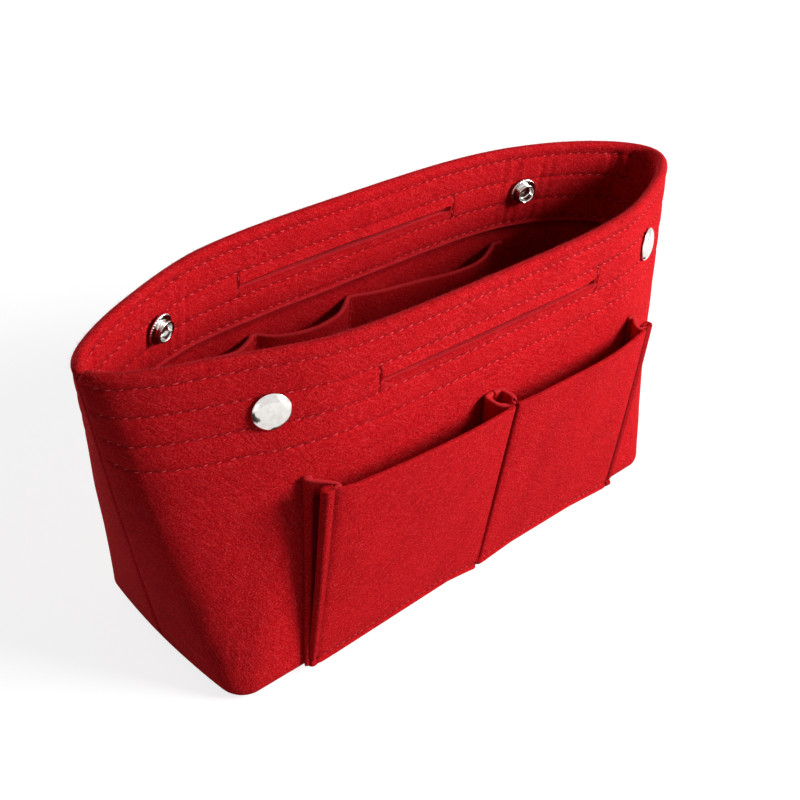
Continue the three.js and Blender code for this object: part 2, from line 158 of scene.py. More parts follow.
@dataclass
class Skin:
    """A mesh in the making: points, faces of three or four corners, and values at the points."""

    points: Array
    faces: list[Array] = field(default_factory=list)
    uv: Array | None = None
    values: dict[str, Array] = field(default_factory=dict)
    caps: tuple[int, ...] = ()

    def build(self, name: str) -> Piece:
        """Makes the Blender object, smooth shaded, with its place in its mesh.

        Args:
            name: the piece's name.

        Returns:
            The object, linked to the scene.
        """
        mesh = bpy.data.meshes.new(name)
        corners = np.concatenate([f.ravel() for f in self.faces]).astype(np.int32)
        sizes = np.concatenate([np.full(len(f), f.shape[1]) for f in self.faces])
        starts = np.concatenate([[0], np.cumsum(sizes)[:-1]]).astype(np.int32)
        mesh.vertices.add(len(self.points))
        mesh.vertices.foreach_set("co", np.ascontiguousarray(self.points, np.float32).ravel())
        mesh.loops.add(len(corners))
        mesh.loops.foreach_set("vertex_index", corners)
        mesh.polygons.add(len(sizes))
        mesh.polygons.foreach_set("loop_start", starts)
        mesh.update(calc_edges=True)
        if self.uv is not None:
            layer = mesh.uv_layers.new(name="felt_run")
            layer.data.foreach_set("uv", self.uv[corners].astype(np.float32).ravel())
        for label, values in self.values.items():
            layer = mesh.attributes.new(label, "FLOAT", "POINT")
            layer.data.foreach_set("value", values.astype(np.float32).ravel())
        mesh.shade_smooth()
        if self.caps:
            self.sharpen(mesh)
        mesh.validate()
        piece = bpy.data.objects.new(name, mesh)
        bpy.context.scene.collection.objects.link(piece)
        LOG.info("%s: %d faces", name, len(mesh.polygons))
        return piece

    def sharpen(self, mesh: bpy.types.Mesh) -> None:
        """Keeps the shading of the end caps apart: an edge that one cap face uses once is sharp.

        Args:
            mesh: the mesh made from this skin.
        """
        capped = np.concatenate([np.full(f.size, k in self.caps) for k, f in enumerate(self.faces)])
        edges = np.empty(len(mesh.loops), np.int32)
        mesh.loops.foreach_get("edge_index", edges)
        border = np.bincount(edges[capped], minlength=len(mesh.edges)) == 1
        layer = mesh.attributes.new("sharp_edge", "BOOLEAN", "EDGE")
        layer.data.foreach_set("value", border)


def grid_faces(rows: int, columns: int, wrap: bool) -> Array:
    """Quads of a grid of rows x columns points, numbered row by row.

    Args:
        rows, columns: size of the grid.
        wrap: whether the last column joins the first.

    Returns:
        The quads as an array of shape (rows - 1, columns or columns - 1, 4).
    """
    i = np.arange(rows - 1)[:, None]
    j = np.arange(columns if wrap else columns - 1)[None, :]
    k = (j + 1) % columns
    at = lambda row, column: row * columns + column
    return np.stack([at(i, j), at(i + 1, j), at(i + 1, k), at(i, k)], axis=-1)


def outward(skin: Skin) -> Skin:
    """Turns all faces round when the closed skin's volume comes out negative.

    Args:
        skin: a closed skin whose faces all point one way.

    Returns:
        The same skin, facing outwards.
    """
    volume = 0.0
    for faces in skin.faces:
        p = skin.points[faces]
        for k in range(1, faces.shape[1] - 1):
            volume += np.einsum("ij,ij->", p[:, 0], np.cross(p[:, k], p[:, k + 1]))
    if volume < 0:
        skin.faces = [faces[:, ::-1] for faces in skin.faces]
    return skin


# For each neighbour of a hole's quad: the two ends of the edge between them, as steps of row and column.
HOLE_EDGES = {(-1, 0): ((0, 1), (0, 0)), (1, 0): ((1, 0), (1, 1)), (0, -1): ((0, 0), (1, 0)), (0, 1): ((1, 1), (0, 1))}


def closed_loft(points: Array, uv: Array, values: dict[str, Array], holes: Array | None = None) -> Skin:
    """Closes a loft of ring sections: a wrapped grid with both end rings zipped across.

    Each ring is a section whose first half climbs one side and whose second half comes back down the
    other, so corner j faces corner J - 1 - j. A hole is a block of quads taken out on both sides, and
    its edges are joined through the felt.

    Args:
        points: shape (rings, J, 3), J even.
        uv: shape (rings, J, 2).
        values: point values, each of shape (rings, J).
        holes: true for every quad (rings - 1, J) of the climbing side that is left out.

    Returns:
        The closed skin.
    """
    rings, around = points.shape[:2]
    quads = grid_faces(rings, around, True)
    mirror = around - 1 - np.arange(around)
    keep = np.ones(quads.shape[:2], bool)
    extra: list[Array] = []
    if holes is not None:
        keep &= ~holes & ~holes[:, (around - 2 - np.arange(around)) % around]
        padded = np.pad(holes, 1)
        inside = padded[1:-1, 1:-1]
        down, across = inside.shape
        for (di, dj), edge in HOLE_EDGES.items():
            border = inside & ~padded[1 + di : 1 + di + down, 1 + dj : 1 + dj + across]
            if di == 1:
                border[-1] = False  # a hole that reaches the last ring stays open there
            i, j = np.nonzero(border)
            (a, b), (c, d) = ((i + row, j + column) for row, column in edge)
            corners = ((a, b), (c, d), (c, mirror[d]), (a, mirror[b]))
            extra.append(np.stack([row * around + column for row, column in corners], axis=-1))
    half = around // 2
    j = np.arange(half - 1)
    first = np.stack([j, j + 1, mirror[j + 1], mirror[j]], axis=-1)
    last = (rings - 1) * around + first[:, ::-1]
    if holes is not None:
        last = last[~holes[-1, : half - 1]]
    faces = [quads[keep], first, last, *extra]
    flat = {label: value.reshape(-1) for label, value in values.items()}
    return outward(Skin(points.reshape(-1, 3), faces, uv.reshape(-1, 2), flat, (1, 2)))


def lathe(profile: Sequence[tuple[float, float]], sides: int, place: Matrix, knurl: Array | None = None) -> Skin:
    """Turns a closed profile round an axis: point = place * (r cos a, r sin a, z).

    Args:
        profile: (radius, height) points from the axis and back to it; both ends lie on the axis.
        sides: divisions of the turn.
        place: moves local space to the object's.
        knurl: how far each profile point follows a rope-like ripple of its radius, or None.

    Returns:
        The closed skin, both poles shut.
    """
    r, z = np.array(profile, float).T
    turn = np.arange(sides) * 2 * np.pi / sides
    radius = r[:, None] * np.ones(sides)
    if knurl is not None:
        radius = radius + knurl[:, None] * np.cos(turn * (sides // 4))[None, :]
    local = np.stack([radius * np.cos(turn), radius * np.sin(turn), z[:, None] * np.ones(sides)], axis=-1)
    body = local[1:-1].reshape(-1, 3)
    ends = np.array([[0, 0, z[0]], [0, 0, z[-1]]])
    points = np.vstack([body, ends]) @ np.array(place.to_3x3()).T + np.array(place.translation)
    quads = grid_faces(len(r) - 2, sides, True).reshape(-1, 4)
    j = np.arange(sides)
    k = (j + 1) % sides
    start = np.stack([np.full(sides, len(body)), j, k], axis=-1)
    top = (len(r) - 3) * sides
    finish = np.stack([np.full(sides, len(body) + 1), top + k, top + j], axis=-1)
    return outward(Skin(points, [quads, start, finish]))


def joined(skins: Iterable[Skin]) -> Skin:
    """Puts several skins into one, values included.

    Args:
        skins: skins with the same values.

    Returns:
        One skin that holds them all.
    """
    skins = list(skins)
    faces: list[Array] = []
    start = 0
    for skin in skins:
        faces.extend(f + start for f in skin.faces)
        start += len(skin.points)
    values = {label: np.concatenate([s.values[label] for s in skins]) for label in skins[0].values}
    uv = None if skins[0].uv is None else np.vstack([s.uv for s in skins])
    return Skin(np.vstack([s.points for s in skins]), faces, uv, values)


# ---- The body's outline, as in the solids ----


@dataclass(frozen=True)
class Outline:
    """Plan outline of the felt body: a rounded rectangle below, a long pointed oval at the rim."""

    bottom_length: float = 250 * MM
    bottom_width: float = 95 * MM
    corner_radius: float = 9 * MM
    height: float = 150 * MM
    rim_length: float = 316 * MM
    rim_width: float = 92 * MM
    tip_width: float = 16 * MM
    tip_drop: float = 3 * MM
    fullness_power: float = 3.5
    drop_power: float = 4.0
    tip_share: float = 0.04
    corner_share: float = 0.24
    samples: int = 600

    def __post_init__(self) -> None:
        """Samples the rim and the knots once: y = -(belly + tip) / 2 over u = -cos(pi i / n)."""
        u = -np.cos(np.pi * np.arange(self.samples + 1) / self.samples)
        belly = (1 - np.abs(u) ** self.fullness_power) * (self.rim_width - self.tip_width)
        power = 2 * self.rim_length / self.tip_width
        tip = np.sqrt(np.maximum(0, 1 - np.abs(u) ** power)) * self.tip_width
        rim = np.stack([u * self.rim_length / 2, -(belly + tip) / 2], axis=-1)
        run = run_along(rim)
        end = self.bottom_width / 2 - self.corner_radius
        corner = np.pi / 2 * self.corner_radius
        half = end + corner + self.bottom_length / 2 - self.corner_radius
        knots = np.array([0, self.tip_share, self.corner_share])
        marks = np.array([0, end / half / 2, (end + corner) / half / 2])
        derived = {
            "rim": rim, "rim_run": run / run[-1], "girth": float(run[-1]),
            "end_run": end, "corner_run": corner, "half_run": half,
            "rim_knots": np.concatenate([knots, 1 - knots[::-1]]),
            "bottom_knots": np.concatenate([marks, 1 - marks[::-1]]),
        }
        for label, value in derived.items():
            object.__setattr__(self, label, value)

    def bottom(self, share: Array) -> Array:
        """Front half of the bottom's outline by share of its length, from left to right."""
        mirrored = share > 0.5
        along = np.where(mirrored, 1 - share, share) * 2 * self.half_run
        radius = self.corner_radius
        turn = np.clip((along - self.end_run) / radius, 0, np.pi / 2)
        straight = np.maximum(0, along - self.end_run - self.corner_run)
        x = -self.bottom_length / 2 + radius - radius * np.cos(turn) + straight
        y = -np.minimum(along, self.end_run) - radius * np.sin(turn)
        return np.stack([np.where(mirrored, -x, x), y], axis=-1)

    def bottom_share(self, share: Array) -> Array:
        """The bottom's share that a share of the rim meets: a monotone cubic through the knots."""
        a, b = self.rim_knots, self.bottom_knots
        slope = np.diff(b) / np.diff(a)
        inner = 2 * slope[:-1] * slope[1:] / (slope[:-1] + slope[1:])
        tangent = np.concatenate([slope[:1], inner, slope[-1:]])
        i = np.clip(np.searchsorted(a, share, side="right") - 1, 0, len(a) - 2)
        width = a[i + 1] - a[i]
        v = (share - a[i]) / width
        rise = v * v * (3 - 2 * v)
        bend = width * v * (1 - v) * ((1 - v) * tangent[i] - v * tangent[i + 1])
        return b[i] * (1 - rise) + b[i + 1] * rise + bend

    def level(self, share: Array, height: Array) -> Array:
        """Plan point at a height: the bottom's point and the rim's, mixed by height."""
        share, height = np.broadcast_arrays(np.asarray(share, float), np.asarray(height, float))
        x = np.interp(share, self.rim_run, self.rim[:, 0])
        y = np.interp(share, self.rim_run, self.rim[:, 1])
        mix = (height / self.height)[..., None]
        return self.bottom(self.bottom_share(share)) * (1 - mix) + np.stack([x, y], axis=-1) * mix

    def normal(self, share: Array, height: Array) -> Array:
        """Outward plan normal: the outline's tangent turned by a right angle."""
        step = 1e-3
        share = np.asarray(share, float)
        ahead, behind = np.minimum(1, share + step), np.maximum(0, share - step)
        along = unit(self.level(ahead, height) - self.level(behind, height))
        return np.stack([along[..., 1], -along[..., 0]], axis=-1)

    def lowered(self, x: Array, height: Array) -> Array:
        """The height with the rim's dip towards its tips, z = h (1 - drop |2x / length|^power)."""
        return height * (1 - self.tip_drop / self.height * np.abs(2 * x / self.rim_length) ** self.drop_power)

    def side(self, share: Array, height: Array, depth: Array) -> Array:
        """A point of the front half, its depth measured inwards square to the outer face."""
        p = self.level(share, height)
        p = p - self.normal(share, height) * np.asarray(depth)[..., None]
        z = self.lowered(p[..., 0], np.broadcast_to(height, p.shape[:-1]))
        return np.stack([p[..., 0], p[..., 1], z], axis=-1)

    def share_at(self, x: Array, height: Array) -> Array:
        """The share whose plan point has this x, by halving."""
        x, height = np.broadcast_arrays(np.asarray(x, float), np.asarray(height, float))
        low, high = np.zeros(x.shape), np.ones(x.shape)
        for _ in range(32):
            middle = (low + high) / 2
            left = self.level(middle, height)[..., 0] < x
            low = np.where(left, middle, low)
            high = np.where(left, high, middle)
        return (low + high) / 2

    def wall(self, x: Array, height: Array, depth: Array) -> Array:
        """A point of the front wall found by its x, its depth taken along Y."""
        share = self.share_at(x, height)
        run = depth / np.abs(self.normal(share, height)[..., 1])
        y = self.level(share, height)[..., 1] + run
        x, z = np.broadcast_arrays(x, self.lowered(x, height))
        return np.stack([x, np.broadcast_to(y, x.shape), z], axis=-1)


@dataclass(frozen=True)
class Ease:
    """How the sewn felt strays from the plain solids, by a few millimetres at both ends.

    Along X the ends move out by foot_out at the bottom and rim_out at the rim, less where the end is
    wide, so the end bulges: out - bulge (y / half width)^2. Along Y the front and the back are squeezed
    towards the middle in proportion to y. The ends of the rim sink by drop. Height curves have value
    mid at half height and top at the rim. All fade out before the middle. Values are (left, right), mm.
    """

    foot_out: tuple[float, float] = (7.4, 4.0)
    rim_out: tuple[float, float] = (3.2, -1.2)
    foot_bulge: tuple[float, float] = (4.0, 0.0)
    mid_bulge: tuple[float, float] = (3.2, 0.0)
    front_mid: tuple[float, float] = (3.2, 2.9)
    front_top: tuple[float, float] = (4.8, 2.2)
    back_mid: tuple[float, float] = (0.0, 0.0)
    back_top: tuple[float, float] = (3.2, 0.0)
    drop_mid: tuple[float, float] = (1.15, 0.2)
    drop_top: tuple[float, float] = (0.7, -0.8)
    along_window: tuple[float, float] = (85, 60)
    across_window: tuple[float, float] = (80, 45)
    drop_window: tuple[float, float] = (100, 50)

    def __call__(self, points: Array) -> Array:
        """Moves points: each shift is its height curve times a smooth window over |x|.

        Args:
            points: points of the plain shape, last axis X, Y, Z.

        Returns:
            The moved points.
        """
        x, y, z = points[..., 0] / MM, points[..., 1] / MM, points[..., 2] / MM
        t = np.clip(z * MM / OUTLINE.height, 0, 1)
        window = lambda start, width: smooth((np.abs(x) - start) / width)
        pick = lambda pair: np.where(x > 0, pair[1], pair[0])
        curve = lambda mid, top: pick(mid) * 4 * t * (1 - t) + pick(top) * t * (2 * t - 1)
        out = pick(self.foot_out) * (1 - t) + pick(self.rim_out) * t
        bulge = (pick(self.foot_bulge) * (1 - t) + pick(self.mid_bulge) * 4 * t * (1 - t)) * (y / 47.5) ** 2
        dx = np.sign(x) * (out - bulge) * window(*self.along_window)
        squeeze = np.where(y < 0, curve(self.front_mid, self.front_top), curve(self.back_mid, self.back_top))
        dy = -y / 40 * squeeze * window(*self.across_window)
        dz = -curve(self.drop_mid, self.drop_top) * window(*self.drop_window)
        return points + np.stack([dx, dy, dz], axis=-1) * MM


OUTLINE = Outline()
EASE = Ease()
FELT = 2.5 * MM
POCKET_FELT = 2.0 * MM
HEM_FACE = 5.3 * MM
HEM_FOOT = 107.5 * MM
ROW_DEPTHS = (5.5 * MM, 17 * MM, 29 * MM, 40 * MM)
SLIT_DEPTH = 23.5 * MM
SLIT_HEIGHT = OUTLINE.height - SLIT_DEPTH
SLIT_HALF = 61 * MM
BACKWARDS = np.array([1.0, -1.0, 1.0])
FORWARDS = np.array([0.0, -1.0, 0.0])
UPWARDS = np.array([0.0, 0.0, 1.0])
ROW_SINK = 0.45 * MM
WELT_GAP = 1.5 * MM
SEAM_GAP = 0.01 * MM


# ---- Finishes ----


class Nodes:
    """Places nodes in a tree and links them by name."""

    def __init__(self, tree: Tree) -> None:
        """Keeps the tree."""
        self.tree = tree

    def add(self, kind: str, **settings: object) -> bpy.types.Node:
        """Adds a node and sets its properties; a key `in_N` sets input N.

        Args:
            kind: the node's type name without its ShaderNode prefix.
            settings: properties, and inputs by number.

        Returns:
            The node.
        """
        node = self.tree.nodes.new("ShaderNode" + kind)
        for key, value in settings.items():
            if key.startswith("in_"):
                node.inputs[int(key[3:])].default_value = value
            else:
                setattr(node, key, value)
        return node

    def link(self, source: Socket, target: Socket) -> None:
        """Links two sockets."""
        self.tree.links.new(source, target)

    def math(self, operation: str, a: object, b: object = 0.5, c: object = 0.0) -> Socket:
        """Adds a Math node and feeds it sockets or numbers.

        Args:
            operation: Blender's name of the operation.
            a, b, c: sockets or numbers.

        Returns:
            Its output.
        """
        node = self.add("Math", operation=operation)
        for slot, value in enumerate((a, b, c)):
            self.feed(value, node.inputs[slot])
        return node.outputs[0]

    def feed(self, value: object, target: Socket) -> None:
        """Links a socket or writes a number into an input."""
        if isinstance(value, Socket):
            self.link(value, target)
        else:
            target.default_value = value

    def noise(self, vector: object, scale: float, detail: float, rough: float = 0.55) -> Socket:
        """Adds a Noise texture that reads at a vector, and gives its factor."""
        node = self.add("TexNoise", in_2=scale, in_3=detail, in_4=rough)
        return self.fill(node, {"Vector": vector}).outputs[0]

    def ramp(self, value: object, low: float, high: float, to_low: float = 0.0,
             to_high: float = 1.0) -> Socket:
        """Maps low..high to to_low..to_high and holds the ends."""
        node = self.add("MapRange", in_1=low, in_2=high, in_3=to_low, in_4=to_high)
        return self.fill(node, {"Value": value}).outputs[0]

    def mix(self, factor: object, a: object, b: object) -> Socket:
        """Adds a colour Mix node.

        Args:
            factor: 0 gives a, 1 gives b.
            a, b: colours or sockets.

        Returns:
            The mixed colour.
        """
        node = self.add("Mix", data_type="RGBA")
        for slot, value in ((0, factor), (6, a), (7, b)):
            self.feed(value, node.inputs[slot])
        return node.outputs[2]

    def scaled(self, vector: Socket, factors: tuple[float, float, float]) -> Socket:
        """Multiplies a vector by a factor for each axis."""
        node = self.add("VectorMath", operation="MULTIPLY", in_1=factors)
        self.link(vector, node.inputs[0])
        return node.outputs[0]

    def fill(self, node: bpy.types.Node, inputs: dict[str, object]) -> bpy.types.Node:
        """Feeds a node's inputs by name with sockets or constants, and gives the node back."""
        for label, value in inputs.items():
            self.feed(value, node.inputs[label])
        return node

    def relief(self, height: Socket, strength: float, distance: float) -> Socket:
        """Adds a Bump node and gives its normal."""
        return self.fill(self.add("Bump"), {"Strength": strength, "Distance": distance, "Height": height}).outputs[0]

    def surface(self, inputs: dict[str, object]) -> None:
        """Adds the Principled shader with these inputs, and the output."""
        shader = self.fill(self.add("BsdfPrincipled"), inputs)
        self.link(shader.outputs[0], self.add("OutputMaterial").inputs[0])

    def seen(self) -> Socket:
        """1 on rays from the eye and on those that metal or glass sends on, else 0."""
        path = self.add("LightPath").outputs
        direct = self.math("MAXIMUM", path["Is Camera Ray"], path["Is Glossy Ray"])
        return self.math("MAXIMUM", direct, path["Is Transmission Ray"])


def opaque(colour: Colour) -> tuple[float, float, float, float]:
    """A colour with full alpha, as sockets take it."""
    return (*colour, 1.0)


def blank_material(name: str) -> tuple[bpy.types.Material, Nodes]:
    """Starts a material with an empty tree."""
    made = bpy.data.materials.new(name)
    made.use_nodes = True
    made.node_tree.nodes.clear()
    return made, Nodes(made.node_tree)


def new_group(name: str, inputs: Sequence[tuple[str, str]], outputs: Sequence[tuple[str, str]],
              ) -> tuple[Tree, Nodes, bpy.types.Node, bpy.types.Node]:
    """Starts a shader node group.

    Args:
        name: its name.
        inputs, outputs: (socket name, short type) pairs.

    Returns:
        The group, its Nodes helper, its input node and its output node.
    """
    group = bpy.data.node_groups.new(name, "ShaderNodeTree")
    for way, sockets in (("INPUT", inputs), ("OUTPUT", outputs)):
        for label, kind in sockets:
            group.interface.new_socket(name=label, in_out=way, socket_type="NodeSocket" + kind)
    return group, Nodes(group), group.nodes.new("NodeGroupInput"), group.nodes.new("NodeGroupOutput")


# Layers of fibres in the compressed wool: angle in radians, then noise scales along and across the fibres.
FIBRE_LAYERS = ((0.70, 130.0, 1500.0), (0.55, 180.0, 1900.0), (-0.35, 480.0, 2500.0), (1.5, 520.0, 2500.0))


def nap_group() -> Tree:
    """Compressed wool: fine grain, light fibres combed mostly one way, dark lines between them.

    Returns:
        The group. Place is in metres; Run is the felt's own length and height. The first of the two mark
        inputs lightens towards the cut colour: paler cut edges, and a painted highlight on lit edges. The
        second darkens towards the pit colour: compressed seams, and painted shade in grooves, recesses and
        under overhangs.
    """
    group, n, start, finish = new_group(
        "pressed_wool",
        [("Place", "Vector"), ("Run", "Vector"), ("Wool", "Color"), ("Fibre", "Color"), ("Pit", "Color"),
         ("Cut", "Color"), ("Raw", "Float"), ("Pressed", "Float"), ("Contrast", "Float"), ("Combed", "Float")],
        [("Colour", "Color"), ("Height", "Float"), ("Roughness", "Float")],
    )
    given = start.outputs
    drift = n.add("TexNoise", in_2=170.0, in_3=2.0)
    n.link(given["Place"], drift.inputs[0])
    shift = n.add("VectorMath", operation="MULTIPLY_ADD", in_1=(3.5 * MM, 3.5 * MM, 3.5 * MM))
    n.link(drift.outputs[1], shift.inputs[0])
    n.link(given["Run"], shift.inputs[2])
    layers: list[Socket] = []
    for angle, long, fine in FIBRE_LAYERS:
        turned = n.fill(n.add("Mapping", vector_type="POINT"),
                        {"Vector": shift.outputs[0], "Rotation": (0.0, 0.0, angle)})
        layers.append(n.noise(n.scaled(turned.outputs[0], (long, fine, long)), 1.0, 2.0, 0.5))
    combed = n.math("MAXIMUM", layers[0], layers[1])
    strands = n.math("MAXIMUM", combed, n.math("SUBTRACT", n.math("MAXIMUM", layers[2], layers[3]), 0.05))
    strand = n.ramp(strands, 0.58, 0.76)
    hollow = n.ramp(n.math("MINIMUM", layers[0], layers[1]), 0.42, 0.27)
    grain = n.noise(given["Place"], 1450.0, 5.0, 0.74)
    cloud = n.noise(given["Place"], 60.0, 2.0, 0.5)
    low = n.math("ADD", n.ramp(grain, 0.57, 0.36, 0.0, 0.62), n.math("MULTIPLY", hollow, 0.16))
    low = n.math("ADD", low, n.ramp(cloud, 0.55, 0.3, 0.0, 0.10))
    shade = n.mix(n.math("MULTIPLY", low, given["Contrast"]), given["Wool"], given["Pit"])
    high = n.math("ADD", n.math("MULTIPLY", strand, given["Combed"]), n.ramp(grain, 0.54, 0.72, 0.0, 0.50))
    colour = n.mix(n.math("MULTIPLY", high, given["Contrast"]), shade, given["Fibre"])
    # Paler cut edges with painted highlight, then compressed seams with painted shade.
    colour = n.mix(n.math("MULTIPLY", given["Raw"], 0.55), colour, given["Cut"])
    colour = n.mix(n.math("MULTIPLY", given["Pressed"], 0.8), colour, given["Pit"])
    height = n.math("ADD", n.math("MULTIPLY", grain, 0.7), n.math("MULTIPLY", strand, 0.3))
    height = n.math("SUBTRACT", height, n.math("MULTIPLY", hollow, 0.15))
    n.fill(finish, {"Colour": colour, "Height": height, "Roughness": n.ramp(grain, 0.3, 0.7, 0.98, 0.86)})
    return group


def plate_group() -> Tree:
    """Nickel plate: faint clouding and fine rubbed lines.

    Returns:
        The group. Place is in metres.
    """
    group, n, start, finish = new_group(
        "nickel_plate",
        [("Place", "Vector"), ("Plate", "Color"), ("Dull", "Color")],
        [("Colour", "Color"), ("Roughness", "Float"), ("Height", "Float")],
    )
    given = start.outputs
    cloud = n.noise(given["Place"], 420.0, 3.0)
    rubbed = n.noise(n.scaled(given["Place"], (900.0, 900.0, 6000.0)), 1.0, 2.0)
    colour = n.mix(n.ramp(cloud, 0.35, 0.75, 0.0, 0.55), given["Plate"], given["Dull"])
    rough = n.math("ADD", n.ramp(rubbed, 0.35, 0.7, 0.10, 0.17), n.ramp(cloud, 0.4, 0.7, 0.0, 0.05))
    n.fill(finish, {"Colour": colour, "Roughness": rough, "Height": rubbed})
    return group


@dataclass(frozen=True)
class FeltFinish:
    """Matt felt of compressed wool: the colours of its wool, fibres, pits and cut edges, and its nap; the cut colour
    also serves as painted highlight, the pit colour as painted shade.
    """

    name: str
    wool: Colour
    fibre: Colour
    pit: Colour
    cut: Colour
    contrast: float = 1.0
    combed: float = 0.24
    nap_depth: float = 0.28 * MM
    sheen: float = 0.09
    sheen_roughness: float = 0.40
    ior: float = 1.35
    specular: float = 0.12

    def material(self, nap: Tree) -> bpy.types.Material:
        """Builds the material.

        Args:
            nap: the pressed wool group.

        Returns:
            The material.
        """
        made, n = blank_material(self.name)
        mark = lambda name: n.add("Attribute", attribute_name=name).outputs["Fac"]
        wool = n.fill(n.add("Group", node_tree=nap), {
            "Place": n.add("TexCoord").outputs["Object"], "Run": n.add("UVMap", uv_map="felt_run").outputs[0],
            "Wool": opaque(self.wool), "Fibre": opaque(self.fibre), "Pit": opaque(self.pit), "Cut": opaque(self.cut),
            "Raw": mark("raw"), "Pressed": mark("pressed"), "Contrast": self.contrast, "Combed": self.combed})
        n.surface({
            "Base Color": wool.outputs["Colour"], "Roughness": wool.outputs["Roughness"],
            "Normal": n.relief(wool.outputs["Height"], 1.0, self.nap_depth), "IOR": self.ior,
            "Specular IOR Level": self.specular, "Sheen Weight": self.sheen,
            "Sheen Roughness": self.sheen_roughness, "Sheen Tint": opaque(self.fibre)})
        return made


@dataclass(frozen=True)
class ThreadFinish:
    """Sewing thread, with painted shade where it dives into the felt and on its needle holes."""

    name: str
    thread: Colour
    hole: Colour

    def material(self) -> bpy.types.Material:
        """Builds the material.

        Returns:
            The material.
        """
        made, n = blank_material(self.name)
        # Painted shade: the stitch's ends where it dives in and its needle-hole lens take the hole colour.
        deep = n.add("Attribute", attribute_name="deep").outputs["Fac"]
        strands = n.noise(n.add("TexCoord").outputs["Object"], 2600.0, 2.0)
        dark = n.math("MAXIMUM", deep, n.ramp(strands, 0.3, 0.7, 0.0, 0.35))
        n.surface({
            "Base Color": n.mix(dark, opaque(self.thread), opaque(self.hole)), "Roughness": 0.6,
            "Normal": n.relief(strands, 0.6, 0.1 * MM), "Specular IOR Level": 0.25})
        return made


@dataclass(frozen=True)
class NickelFinish:
    """Polished nickel plate."""

    name: str
    plate: Colour
    dull: Colour

    def material(self, plate: Tree) -> bpy.types.Material:
        """Builds the material.

        Args:
            plate: the nickel plate group.

        Returns:
            The material.
        """
        made, n = blank_material(self.name)
        metal = n.fill(n.add("Group", node_tree=plate), {
            "Place": n.add("TexCoord").outputs["Object"], "Plate": opaque(self.plate), "Dull": opaque(self.dull)})
        n.surface({
            "Base Color": metal.outputs["Colour"], "Roughness": metal.outputs["Roughness"], "Metallic": 1.0,
            "Normal": n.relief(metal.outputs["Height"], 0.15, 0.02 * MM)})
        return made


class Finish(Enum):
    """The finishes on the organizer."""

    FELT = "felt"
    POCKET_FELT = "pocket felt"
    THREAD = "thread"
    NICKEL = "nickel"


@dataclass
class Wardrobe:
    """Builds each finish once and puts it on pieces."""

    made: dict[Finish, bpy.types.Material] = field(default_factory=dict)

    def __post_init__(self) -> None:
        """Builds the node groups and the materials."""
        nap, plate = nap_group(), plate_group()
        # The cut colour is paler cut wool and also serves as painted highlight on lit edges; the pit colour also
        # serves as painted shade in grooves, recesses and under overhangs.
        felt = FeltFinish("red_wool_felt", wool=linear(208, 17, 26), fibre=linear(244, 78, 84),
                          pit=linear(104, 0, 5), cut=linear(226, 62, 70))
        plain_felt = replace(felt, name="red_pocket_felt", combed=0.12)
        # The thread's hole colour is painted shade of the needle holes and of the thread's diving ends.
        thread = ThreadFinish("red_thread", thread=linear(238, 66, 74), hole=linear(128, 3, 12))
        nickel = NickelFinish("nickel_plate", plate=linear(226, 224, 220), dull=linear(196, 192, 186))
        self.made = {Finish.FELT: felt.material(nap), Finish.POCKET_FELT: plain_felt.material(nap),
                     Finish.THREAD: thread.material(), Finish.NICKEL: nickel.material(plate)}

    def dress(self, piece: Piece, finish: Finish) -> Piece:
        """Gives a piece its finish.

        Args:
            piece: the piece.
            finish: its finish.

        Returns:
            The piece.
        """
        piece.data.materials.clear()
        piece.data.materials.append(self.made[finish])
        return piece


# ---- Sewing ----


def repeated(points: Array, quads: Array, triangles: Array, deep: Array) -> Skin:
    """Makes one skin of all the copies of a small shape.

    Args:
        points: every copy's points, shape (copies, ..., 3).
        quads, triangles: the faces of one copy.
        deep: the painted-shade mark of each point of one copy, 1 where the thread dives into the felt and on its hole.

    Returns:
        The skin.
    """
    offset = (np.arange(len(points)) * len(deep))[:, None, None]
    faces = [(f[None] + offset).reshape(-1, f.shape[1]) for f in (quads, triangles)]
    return Skin(points.reshape(-1, 3), faces, None, {"deep": np.tile(deep, len(points))})


